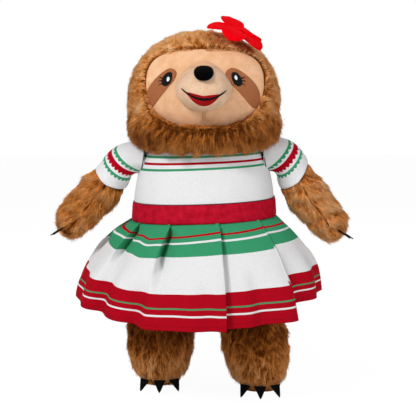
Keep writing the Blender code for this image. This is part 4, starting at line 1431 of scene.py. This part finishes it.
# %% Back placket
# Half its width, as a share of the way round the body.
PLACKET_HALF_TURN = 0.0144
(_, _, placket_low), (_, _, placket_high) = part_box("back_placket")
u, v = turns_and_rows(32, 40)
across = PLACKET_HALF_TURN * signed_power(np.cos(2 * math.pi * u), 0.3)
outset = 0.0026 + 0.0006 * signed_power(np.sin(2 * math.pi * u), 0.5)
z = placket_low + v * (placket_high - placket_low)
placket = grid_piece(
    "back_placket_cloth",
    tilted(torso(across, z, outset)),
    BODICE_CLOTH,
    "torso",
    "white_knit_cloth",
    ["back_placket"],
    marks={"drop": print_height(across, z)},
)

# %% [markdown]
# A knife pleat is one length of cloth folded back on itself and pressed. So the skirt is
# drawn as the path of one continuous cloth round the waist: along a panel, back under its
# folded edge, and on along the next panel. Further down, some folds open into waves.

# %% Pleats of the skirt
WAIST_Z = BELT_BOTTOM - 0.0003
HEM_HALF_WIDTH, HEM_HALF_DEPTH, FLARE_POWER = 0.128, 0.1128, 2.1
WAIST_PLEAT, HEM_PLEAT, RIPPLE, RIPPLES = 0.0012, 0.0052, 0.0022, 17
# Each pleat: its folded edge in turns from the front, the hem's height at that edge and past
# it, the slip of the print at both, how deep the cloth dips past the edge, and the share
# of the drop from which the fold opens into a soft wave. A fold that opens at 9 stays shut.
EDGE, HEM, HEM_PAST, SLIP, SLIP_PAST, DIP, OPENS = range(7)
PLEATS = np.array(
    [
        (-0.468, 0.0890, 0.0890, 0.000, 0.030, 0.004, 0.3),
        (-0.362, 0.1000, 0.1040, 0.000, 0.030, 0.004, 9.0),
        (-0.260, 0.1120, 0.1060, 0.000, -0.070, 0.004, 0.3),
        (-0.160, 0.0980, 0.0970, 0.020, 0.050, 0.013, 0.3),
        (-0.064, 0.0868, 0.0865, 0.050, 0.070, 0.018, 0.3),
        (0.0305, 0.0853, 0.0862, -0.013, 0.031, 0.012, 9.0),
        (0.1310, 0.0916, 0.1047, -0.022, 0.000, 0.003, 9.0),
        (0.2300, 0.1100, 0.1090, 0.000, 0.020, 0.004, 0.4),
        (0.3290, 0.1040, 0.1000, 0.000, 0.020, 0.004, 9.0),
        (0.4280, 0.0920, 0.0910, 0.000, 0.020, 0.004, 0.4),
    ]
)
UNDERLAP, OPEN_GAP, OPENING_DROP = 0.012, 0.010, 0.22
PANEL_PART, HEM_SHIFT, WAIST_OUT = 0.90, -0.0045, 0.0037
# Washed cloth is never quite smooth: lumps of this size stand this much proud, in metres,
# on a skirt of this mean radius.
CRUMPLE_SIZE, CRUMPLE, MEAN_RADIUS = 0.030, 0.0011, 0.11
# Soft valleys in the open cloth: turn at the waist, turn at the hem, width in turns, depth.
DRAPES = (
    (-0.050, -0.085, 0.013, 0.0070),
    (-0.005, 0.012, 0.011, 0.0065),
    (-0.110, -0.150, 0.014, 0.0045),
    (0.070, 0.078, 0.013, 0.0045),
    (0.480, 0.470, 0.016, 0.0045),
)
# A roll of cloth under the belt, on the toy's right: its turn, drop, two widths and height.
ROLL = (-0.226, 0.13, 0.034, 0.09, 0.0080)
# Where the cloth is bunched at the belt, as a turn and a width, and how far it moves the
# print there.
BUNCH_TURN, BUNCH_WIDTH, BUNCH_SLIP = -0.105, 0.030, 0.022


def along_pleats(s, drop):
    """The cloth's own path round the waist. From one whole number to the next it runs along a
    panel to a folded edge, then turns back under it. Gives turn, wave, hem, slip and dip.
    Where a fold has opened, the cloth runs on instead of turning back, and the wave is low."""
    count = len(PLEATS)
    after = np.minimum(s.astype(int), count - 1)
    before = (after - 1) % count
    part = s - after
    panel = np.clip(part / PANEL_PART, 0, 1)
    back = np.clip((part - PANEL_PART) / (1 - PANEL_PART), 0, 1)
    end = PLEATS[after]
    start = PLEATS[before]
    first = np.where(after == 0, start[..., EDGE] - 1, start[..., EDGE])
    near = np.where(back > 0, back, 1 - panel)
    opening = np.where(back > 0, end[..., OPENS], start[..., OPENS])
    opened_here = smooth(opening, opening + OPENING_DROP, drop)
    opened_end = smooth(end[..., OPENS], end[..., OPENS] + OPENING_DROP, drop)
    under = UNDERLAP * (1 - opened_here) - OPEN_GAP * opened_here
    turn = first + (end[..., EDGE] - first) * panel - under * near
    low = -1 + 1.1 * opened_here
    high = 1 - 0.55 * opened_end
    wave = high + (low - high) * near
    hem = np.where(
        back > 0,
        end[..., HEM] + (end[..., HEM_PAST] - end[..., HEM]) * back,
        start[..., HEM_PAST] + (end[..., HEM] - start[..., HEM_PAST]) * panel,
    )
    slip = start[..., SLIP_PAST] + (end[..., SLIP] - start[..., SLIP_PAST]) * panel
    slip = slip + (end[..., SLIP_PAST] - end[..., SLIP]) * back
    dip = start[..., DIP] * np.exp(-panel / (0.10 + 0.8 * drop)) * (1 - back)
    return turn, wave, hem, slip, dip + end[..., DIP] * back


def skirt(s, drop, outset=0.0):
    """drop is 0 at the waist and 1 at the hem. The bell widens fast at first, and the pleats
    grow deeper towards the hem. Also gives the place in the print, as a share of the drop."""
    turn, wave, hem, slip, dip = along_pleats(s, drop)
    angle = 2 * math.pi * turn
    sine, cosine = np.sin(angle), np.cos(angle)
    w, f, b = table(TORSO_SHARES, np.full_like(turn, (WAIST_Z - SEAT) / (NECK_TOP - SEAT)))
    wide = w * TORSO_HALF_WIDTH + WAIST_OUT
    deep = np.where(cosine > 0, f * TORSO_FRONT, b * TORSO_BACK) + WAIST_OUT
    flare = 1 - (1 - drop) ** FLARE_POWER
    wide = wide + (HEM_HALF_WIDTH - wide) * flare
    deep = deep + (HEM_HALF_DEPTH - deep) * flare
    pleat = WAIST_PLEAT + (HEM_PLEAT - WAIST_PLEAT) * drop
    high_dip = smooth(0, 0.12, drop) * hill(np.maximum(drop - 0.22, 0), 0.42)
    grow = pleat * (wave - 1 + drop) - dip * high_dip + outset
    ripple = RIPPLE * np.sin(2 * math.pi * turn * RIPPLES + 1.3) * smooth(0.2, 0.9, drop)
    for top, hem_turn, width, depth in DRAPES:
        line = top + (hem_turn - top) * drop
        ripple = ripple - depth * (hill(turn - line, width) * smooth(0.28, 0.75, drop))
    roll_turn, roll_drop, roll_width, roll_height, roll_out = ROLL
    roll = roll_out * hill(turn - roll_turn, roll_width) * hill(drop - roll_drop, roll_height)
    grow = grow + ripple + roll
    x = (wide + grow) * signed_power(sine, 2 / TORSO_POWER)
    y = -(deep + grow) * signed_power(cosine, 2 / TORSO_POWER)
    z = WAIST_Z + (hem - WAIST_Z) * drop + DRESS_TILT * x * (1 - drop) ** 2
    lump, _ = tufts(np.stack([x, y, z], -1), CRUMPLE_SIZE, 5)
    push = 1 + CRUMPLE * lump * smooth(0.15, 0.5, drop) / MEAN_RADIUS
    x, y = x * push, y * push
    # Where the cloth is bunched, its stripes run up and down.
    pinch = BUNCH_SLIP * np.sin((turn + 0.112) * 2 * math.pi * 13)
    pinch = pinch * hill(turn - BUNCH_TURN, BUNCH_WIDTH)
    place = drop - (slip + pinch) * (1 - drop) ** 1.3
    return np.stack([x + HEM_SHIFT * flare, y, z], -1), place


def rounded(values, width=5):
    """Averages along the closed path, so that a fold has a small radius, as in real cloth."""
    shares = np.hanning(width + 2)[1:-1]
    shares = shares / shares.sum()
    half = width // 2
    padded = np.concatenate([values[:, -half:], values, values[:, :half]], 1)
    return sum(padded[:, k : k + values.shape[1]] * share for k, share in enumerate(shares))


# %% [markdown]
# The path has its folds in one sheet, so the skirt is one mesh, and its length along the
# path is how much cloth it takes: about twice the girth of the waist.

# %% Skirt cloth
PATH_COLUMNS = 640
s, drop = np.meshgrid(
    np.linspace(0, len(PLEATS), PATH_COLUMNS + 1)[:-1], np.linspace(0, 1, 72) ** 1.1
)
places, print_place = skirt(s, drop)
corners = rounded(places)
skirt_piece = grid_piece(
    "skirt_cloth",
    corners,
    SKIRT_CLOTH,
    "torso",
    "striped_skirt_cloth",
    ["skirt"],
    poles=False,
    marks={"drop": rounded(print_place)},
)
wall = skirt_piece.modifiers.new("thickness", "SOLIDIFY")
wall.thickness, wall.offset = CLOTH, -1
across = np.linalg.norm(np.diff(corners, axis=1, append=corners[:, :1]), axis=-1)
hem_length = across[-1].sum()

# %% [markdown]
# A machine has turned up the hem with a row of stitches of about 2 mm. Each of them is a
# spindle like a strand of fur, laid on the cloth's own path.

# %% Hem stitching
STITCH_GAP, STITCH_RADIUS, STITCH_LEVEL, STITCH_SHARE = 0.0034, 0.00032, 0.955, 0.28
count = int(hem_length / STITCH_GAP)
at = (np.arange(count) + 0.5) / count * len(PLEATS)
half = STITCH_SHARE / count * len(PLEATS)
level = np.full(count, STITCH_LEVEL)
ends = [skirt(at + k * half, level, 0.0003)[0] for k in (-1, 0, 1)]
radii = np.full(count, STITCH_RADIUS)
mesh = strand_mesh("hem_stitches", *ends, radii, np.ones((count, 3)))
new_piece("hem_stitches", mesh, HEM_THREAD, "torso")

# %% [markdown]
# The sleeves are short tubes, fuller on top than under the arm. Their printed bands are
# scalloped, and run level with the hem, so they are placed by their height over it.

# %% Sleeves
SLEEVE_RADIUS, SLEEVE_START, SLEEVE_DRAWN_IN = 0.0187, 0.0004, 0.0004
# How much shorter the sleeve is under the arm, how deep it is gathered at the armhole and
# how soon that fades, and where, before the hem, it grows thicker and by how much.
SHORTER_UNDER, GATHER, GATHER_FADE = 0.0040, 0.0006, 0.014
HEM_STEP, HEM_THICKER = (0.0040, 0.0032), 0.0005
SCALLOP, SCALLOPS, SCALLOP_REACH = 0.0025, 24, 0.0016
# The slope of each sleeve's bands, how far they bow down in front, and how much further
# up the sleeve they are printed.
BAND_SLOPES = {1: math.radians(47), -1: math.radians(52)}
BAND_BOW, BAND_HIGHER = 0.0085, {1: 0.0052, -1: 0.0}
# How far the sleeve is drawn in under the arm, near the armhole.
TUCK = {1: 0.0085, -1: 0.0060}
PUFF = {1: 0.0078, -1: 0.0028}
# The lower edge of each printed band is scalloped.
lower_edges = np.array([place for place, colour in SLEEVE_BANDS if colour != WHITE]) / 10
lower_edges = lower_edges[:, None, None]
u, v = turns_and_rows(312, 60)
for side_name, side in SIDES:
    angle = 2 * math.pi * u * side
    bow = -np.cos(angle)
    top, under = np.maximum(np.sin(angle), 0), np.maximum(-np.sin(angle), 0)
    hem_at = SLEEVE_END + HEM_BOW * bow - SHORTER_UNDER * under
    hem_at = hem_at - TRIM[side] * (0.5 + 0.5 * np.sin(angle))
    reach = SLEEVE_START + v * (hem_at - SLEEVE_START)
    drawn = GATHER * np.sin(angle * 6 + 1) * np.exp(-reach / GATHER_FADE)
    hem_roll = HEM_THICKER * smooth(hem_at - HEM_STEP[0], hem_at - HEM_STEP[1], reach)
    puff = PUFF[side] * top * smooth(-0.008, 0.008, reach)
    puff = puff * (1 - 0.95 * smooth(0.016, SLEEVE_END, reach))
    puff = puff - TUCK[side] * under * smooth(0.043, 0.006, reach)
    thick = SLEEVE_RADIUS + drawn - SLEEVE_DRAWN_IN + hem_roll + puff
    outer = tube(reach, angle, thick, side)
    inner = tube(reach, angle, thick - CLOTH, side)
    hem_x, hem_z, _ = arm_path(SLEEVE_END, side)
    rise = (hem_x - side * outer[..., 0]) * math.cos(BAND_SLOPES[side])
    rise = rise + (outer[..., 2] - hem_z) * math.sin(BAND_SLOPES[side])
    rise = rise + BAND_BOW * bow - BAND_HIGHER[side]
    near_edge = np.exp(-(((rise - lower_edges) / SCALLOP_REACH) ** 4)).sum(0)
    scallop = SCALLOP * (np.abs(np.sin(angle * SCALLOPS / 2)) - 0.4) * near_edge
    printed = 10 * (rise + scallop)
    sleeve = grid_piece(
        f"sleeve_cloth_{side_name}",
        shell(outer, inner),
        SLEEVE_CLOTH,
        f"arm_{side_name}",
        "white_knit_cloth",
        [f"sleeve_{side_name}"],
        round_rows=True,
        marks={"drop": shell(printed, printed)},
    )

# %% [markdown]
# The armhole and the top of the belt show a dark line, because their seams are overcast with
# dark thread. A thin round cord of that thread lies in each of them.

# %% Armhole and belt seams


def seam_line(name, path, radius):
    """A round thread along a closed path: a small circle carried across its direction."""
    step = np.roll(path, -1, 0) - np.roll(path, 1, 0)
    step /= np.linalg.norm(step, axis=1, keepdims=True)
    side = np.cross(step, [0.31, 0.22, 0.92])
    side /= np.linalg.norm(side, axis=1, keepdims=True)
    third = np.cross(step, side)
    a = np.linspace(0, 2 * math.pi, 9)[:-1]
    ring = side[:, None] * np.cos(a)[None, :, None] + third[:, None] * np.sin(a)[None, :, None]
    points = path[:, None] + ring * radius
    grid_piece(name, points, SEAM_THREAD, "torso", "black_embroidery", round_rows=True)


ARMHOLE_RADIUS = 0.0189
turns = np.linspace(0, 1, 121)[:-1]
angle = 2 * math.pi * turns
# The armhole leans out under the arm, and is drawn in there with the sleeve.
lean = 0.0002 + 0.0040 * smooth(1, -1, np.sin(angle))
low = np.maximum(-np.sin(angle), 0)
for side_name, side in SIDES:
    hole = tube(lean, angle, ARMHOLE_RADIUS - TUCK[side] * low, side)
    seam_line(f"armhole_seam_{side_name}", hole, 0.0005)
top = tilted(torso(turns, np.full(len(turns), BELT_TOP + 0.0002), 0.0023))
seam_line("belt_seam", top, 0.0006)

# %% [markdown]
# ## Felt claws and flower
# The claws are small triangles of thick black felt, three on each hand and foot, which fan
# out. Cut felt keeps a soft edge, so a claw isn't a sharp prism but a flattened tube.

# %% Claws
CLAW_HALF_THICKNESS, CLAW_EDGE = 0.0009, 0.0004
HAND_CLAW_LENGTH, HAND_CLAW_WIDTH = 0.0147, 0.0085
FOOT_CLAW_LENGTH, FOOT_CLAW_WIDTH = 0.0140, 0.0114
HAND_CLAW_DOWN, FOOT_CLAW_DOWN = math.radians(33), math.radians(52)
HAND_FAN, FOOT_FAN = np.radians([-36, 0, 36]), np.radians([-34, 0, 34])
# Where the foot claws are let in: their height, and the foot's outline there, as shares.
FOOT_CLAW_Z, FOOT_WIDTH_SHARE, FOOT_FRONT_SHARE = 0.0135, 0.745, 0.98
# How far the claws are let into the hand and the foot.
HAND_CLAW_LET_IN, FOOT_CLAW_LET_IN = 0.002, 0.001
BACKWARD = np.array([0.0, 1.0, 0.0])


def felt_claw(kind, limb, side_name, number, base, out, across, length, width):
    """A flat triangle of felt with a soft edge: v runs from base to tip, u round the edge."""
    name = f"{kind}_felt_{side_name}_{number + 1}"
    u, v = turns_and_rows(24, 12)
    half = width / 2 * (1 - v) ** 0.85 + CLAW_EDGE
    side = half * signed_power(np.cos(2 * math.pi * u), 0.4)
    thick = CLAW_HALF_THICKNESS * signed_power(np.sin(2 * math.pi * u), 0.6)
    thick = thick * (0.6 + 0.4 * (1 - v))
    along = base + out * (v * length)[..., None]
    points = along + across * side[..., None] + np.cross(out, across) * thick[..., None]
    body, node = f"{limb}_{side_name}", f"{kind}_{side_name}_{number + 1}"
    grid_piece(name, points, BLACK_FELT, body, "black_felt", [node])


for side_name, side in SIDES:
    x, z, _ = arm_path(HAND_START, side)
    flat = np.array([side * math.cos(HAND_CLAW_DOWN), 0, -math.sin(HAND_CLAW_DOWN)])
    for number, fan in enumerate(HAND_FAN):
        out = flat * math.cos(fan) + BACKWARD * math.sin(fan)
        across = BACKWARD * math.cos(fan) - flat * math.sin(fan)
        base = np.array([side * x, 0, z]) + out * (HAND_RADIUS - HAND_CLAW_LET_IN)
        size = HAND_CLAW_LENGTH, HAND_CLAW_WIDTH
        felt_claw("hand_claw", "arm", side_name, number, base, out, across, *size)
    foot_x, foot_y = FEET[side_name]
    share = FOOT_CLAW_Z / HIP_Z
    middle_x = side * (foot_x + (HIP_X - foot_x) * share)
    middle = np.array([middle_x, foot_y * (1 - share), FOOT_CLAW_Z])
    for number, fan in enumerate(FOOT_FAN):
        s, c = math.sin(fan), math.cos(fan)
        edge_x = FOOT_WIDTH_SHARE * LEG_HALF_WIDTH * math.copysign(abs(s) ** (2 / FOOT_POWER), s)
        edge = np.array([edge_x, -FOOT_FRONT_SHARE * FOOT_FRONT * c ** (2 / FOOT_POWER), 0])
        level, up = np.array([s, -c, 0]), np.array([0, 0, math.sin(FOOT_CLAW_DOWN)])
        out = level * math.cos(FOOT_CLAW_DOWN) - up
        across, size = np.array([c, s, 0]), (FOOT_CLAW_LENGTH, FOOT_CLAW_WIDTH)
        base = middle + edge - out * FOOT_CLAW_LET_IN
        felt_claw("foot_claw", "leg", side_name, number, base, out, across, *size)

# %% [markdown]
# The flower is five petals of red felt on a short stem, each with a stitched line just inside
# its edge. Cut felt curls as it likes, so every petal rises and arches by its own amount.

# %% Flower
PETAL_LENGTH, PETAL_HALF_WIDTH, PETAL_START = 0.0280, 0.0134, 0.0035
PETAL_HALF_THICKNESS, STITCH_GROOVE = 0.0017, 0.0005
# How each petal rises from the middle, and how it arches, as shares of this reach.
PETAL_REACH = 0.0275
PETAL_LIFTS = ((0.22, -0.44), (0.30, -0.12), (0.04, -0.26), (0.20, -0.34), (0.08, -0.24))
# Its petals lie over and under their neighbours by these steps.
PETAL_STEPS = (0.0006, -0.0006, 0.0006, 0.0012, -0.0006)
# How far a petal's sides curl up, at which distance from its middle line, and how deep
# the flower is sunk.
PETAL_CURL, CURL_AT, FLOWER_SUNK = 0.0012, 0.0128, 0.0011
lean = np.array([math.tan(math.radians(21)), -math.tan(math.radians(15)), 1.0])
lean /= np.linalg.norm(lean)
along = np.cross([0, 1, 0], lean)
along /= np.linalg.norm(along)
across = np.cross(lean, along)
centre_box = np.array(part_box("flower_centre"))
flower_seat = centre_box.mean(0) - lean * FLOWER_SUNK
u, v = turns_and_rows(48, 40, 0.001, 0.999)
reach = PETAL_START + v * PETAL_LENGTH
round_end = np.maximum(0.08, np.sin(math.pi * v**1.25) ** 0.5)
half = np.minimum(PETAL_HALF_WIDTH * round_end, 0.0012 + 0.86 * reach)
w = half * signed_power(np.cos(2 * math.pi * u), 0.75)
s = np.sin(2 * math.pi * u)
line = hill(np.abs(w) / half - 0.78, 0.07) * STITCH_GROOVE
thick = PETAL_HALF_THICKNESS * signed_power(s, 0.7) * (1 - 0.2 * v) - np.sign(s) * line
for number, (rise, arch) in enumerate(PETAL_LIFTS):
    turned = math.radians(44) + 2 * math.pi * number / len(PETAL_LIFTS)
    out = along * math.cos(turned) + across * math.sin(turned)
    sideways = np.cross(lean, out)
    lift = PETAL_REACH * (rise * v + arch * v * v) + PETAL_CURL * (w / CURL_AT) ** 2
    points = (
        flower_seat
        + out * reach[..., None]
        + sideways * w[..., None]
        + lean * (thick + lift + PETAL_STEPS[number])[..., None]
    )
    node = f"flower_petal_{number + 1}"
    grid_piece(f"petal_felt_{number + 1}", points, RED_FELT, "head", "red_felt", [node])

# %% Centre of the flower
STEM_RADIUS, BUTTON_RADIUS = 0.0035, 0.0057
u, v = turns_and_rows(32, 14)
crown = np.sqrt(np.maximum(0, 1 - ((v - 0.4) / 0.6) ** 4))
radius = np.where(v < 0.4, STEM_RADIUS, BUTTON_RADIUS * crown)
rise = -0.0030 + v * 0.0075
points = (
    flower_seat
    + along * (radius * np.cos(2 * math.pi * u))[..., None]
    + across * (radius * np.sin(2 * math.pi * u))[..., None]
    + lean * rise[..., None]
)
grid_piece("flower_centre_felt", points, RED_FELT, "head", "red_felt", ["flower_centre"])

# %% [markdown]
# ## Studio
# The toy stands on white paper, as in a catalogue. A strong soft lamp above and to the left
# gives it form, a wide, weaker one on the right fills the shadows, and a faint one behind
# lights the pile's edges. The surround is white only for the camera, because its light
# would wash out the colours.

# %% Floor, lamps and surround
bpy.ops.mesh.primitive_plane_add(size=6, location=(0, 0, 0))
floor = bpy.context.object
floor.name = "floor"
floor_paint, tree, shader, _ = new_finish("white_paper_floor", 0.9)
shader.inputs["Base Color"].default_value = linear("#F4F4F4")
rays = add(tree, "ShaderNodeLightPath").outputs["Is Camera Ray"]
share = add(tree, "ShaderNodeMath", {0: rays, 1: 0.93}, operation="MULTIPLY").outputs[0]
# A little of the floor's own paint stays, so that the toy's feet keep a faint shadow.
glow = add(tree, "ShaderNodeEmission", {"Color": (1, 1, 1, 1), "Strength": 1.03})
both = add(
    tree,
    "ShaderNodeMixShader",
    {0: share, 1: shader.outputs["BSDF"], 2: glow.outputs["Emission"]},
)
tree.links.new(both.outputs["Shader"], tree.nodes["Material Output"].inputs["Surface"])
floor.data.materials.append(floor_paint)


def lamp(name, place, aim, size, power):
    """A square soft lamp that faces a point."""
    data = bpy.data.lights.new(name, "AREA")
    data.size, data.energy = size, power
    made = bpy.data.objects.new(name, data)
    away = np.array(place) - np.array(aim)
    made.location = place
    made.rotation_euler = (
        math.atan2(math.hypot(away[0], away[1]), away[2]),
        0,
        math.atan2(away[0], -away[1]),
    )
    bpy.context.collection.objects.link(made)


lamp("key_lamp", (-0.85, -1.00, 1.30), (0, 0, 0.2), 0.40, 18.8)
lamp("fill_lamp", (1.1, -1.1, 0.75), (0, 0, 0.2), 0.9, 8.6)
lamp("rim_lamp", (0.3, 1.0, 1.0), (0, 0, 0.25), 0.6, 5)

world = bpy.data.worlds.new("studio")
bpy.context.scene.world = world
world.use_nodes = True
tree = world.node_tree
back = tree.nodes["Background"]
back.inputs["Color"].default_value = (1, 1, 1, 1)
path = add(tree, "ShaderNodeLightPath")
seen = add(
    tree,
    "ShaderNodeMath",
    {0: path.outputs["Is Camera Ray"], 1: path.outputs["Is Glossy Ray"]},
    operation="MAXIMUM",
).outputs[0]
seen = add(
    tree, "ShaderNodeMath", {0: seen, 1: path.outputs["Is Transmission Ray"]}, operation="MAXIMUM"
).outputs[0]
level = add(
    tree, "ShaderNodeMapRange", {"Value": seen, "To Min": 0.28, "To Max": 1.0}
).outputs["Result"]
tree.links.new(level, back.inputs["Strength"])

# %% [markdown]
# ## Settings
# The visible toy may stand out from the CAD by no more than its fur.

# %% Settings
bpy.context.scene.view_settings.view_transform = "Standard"
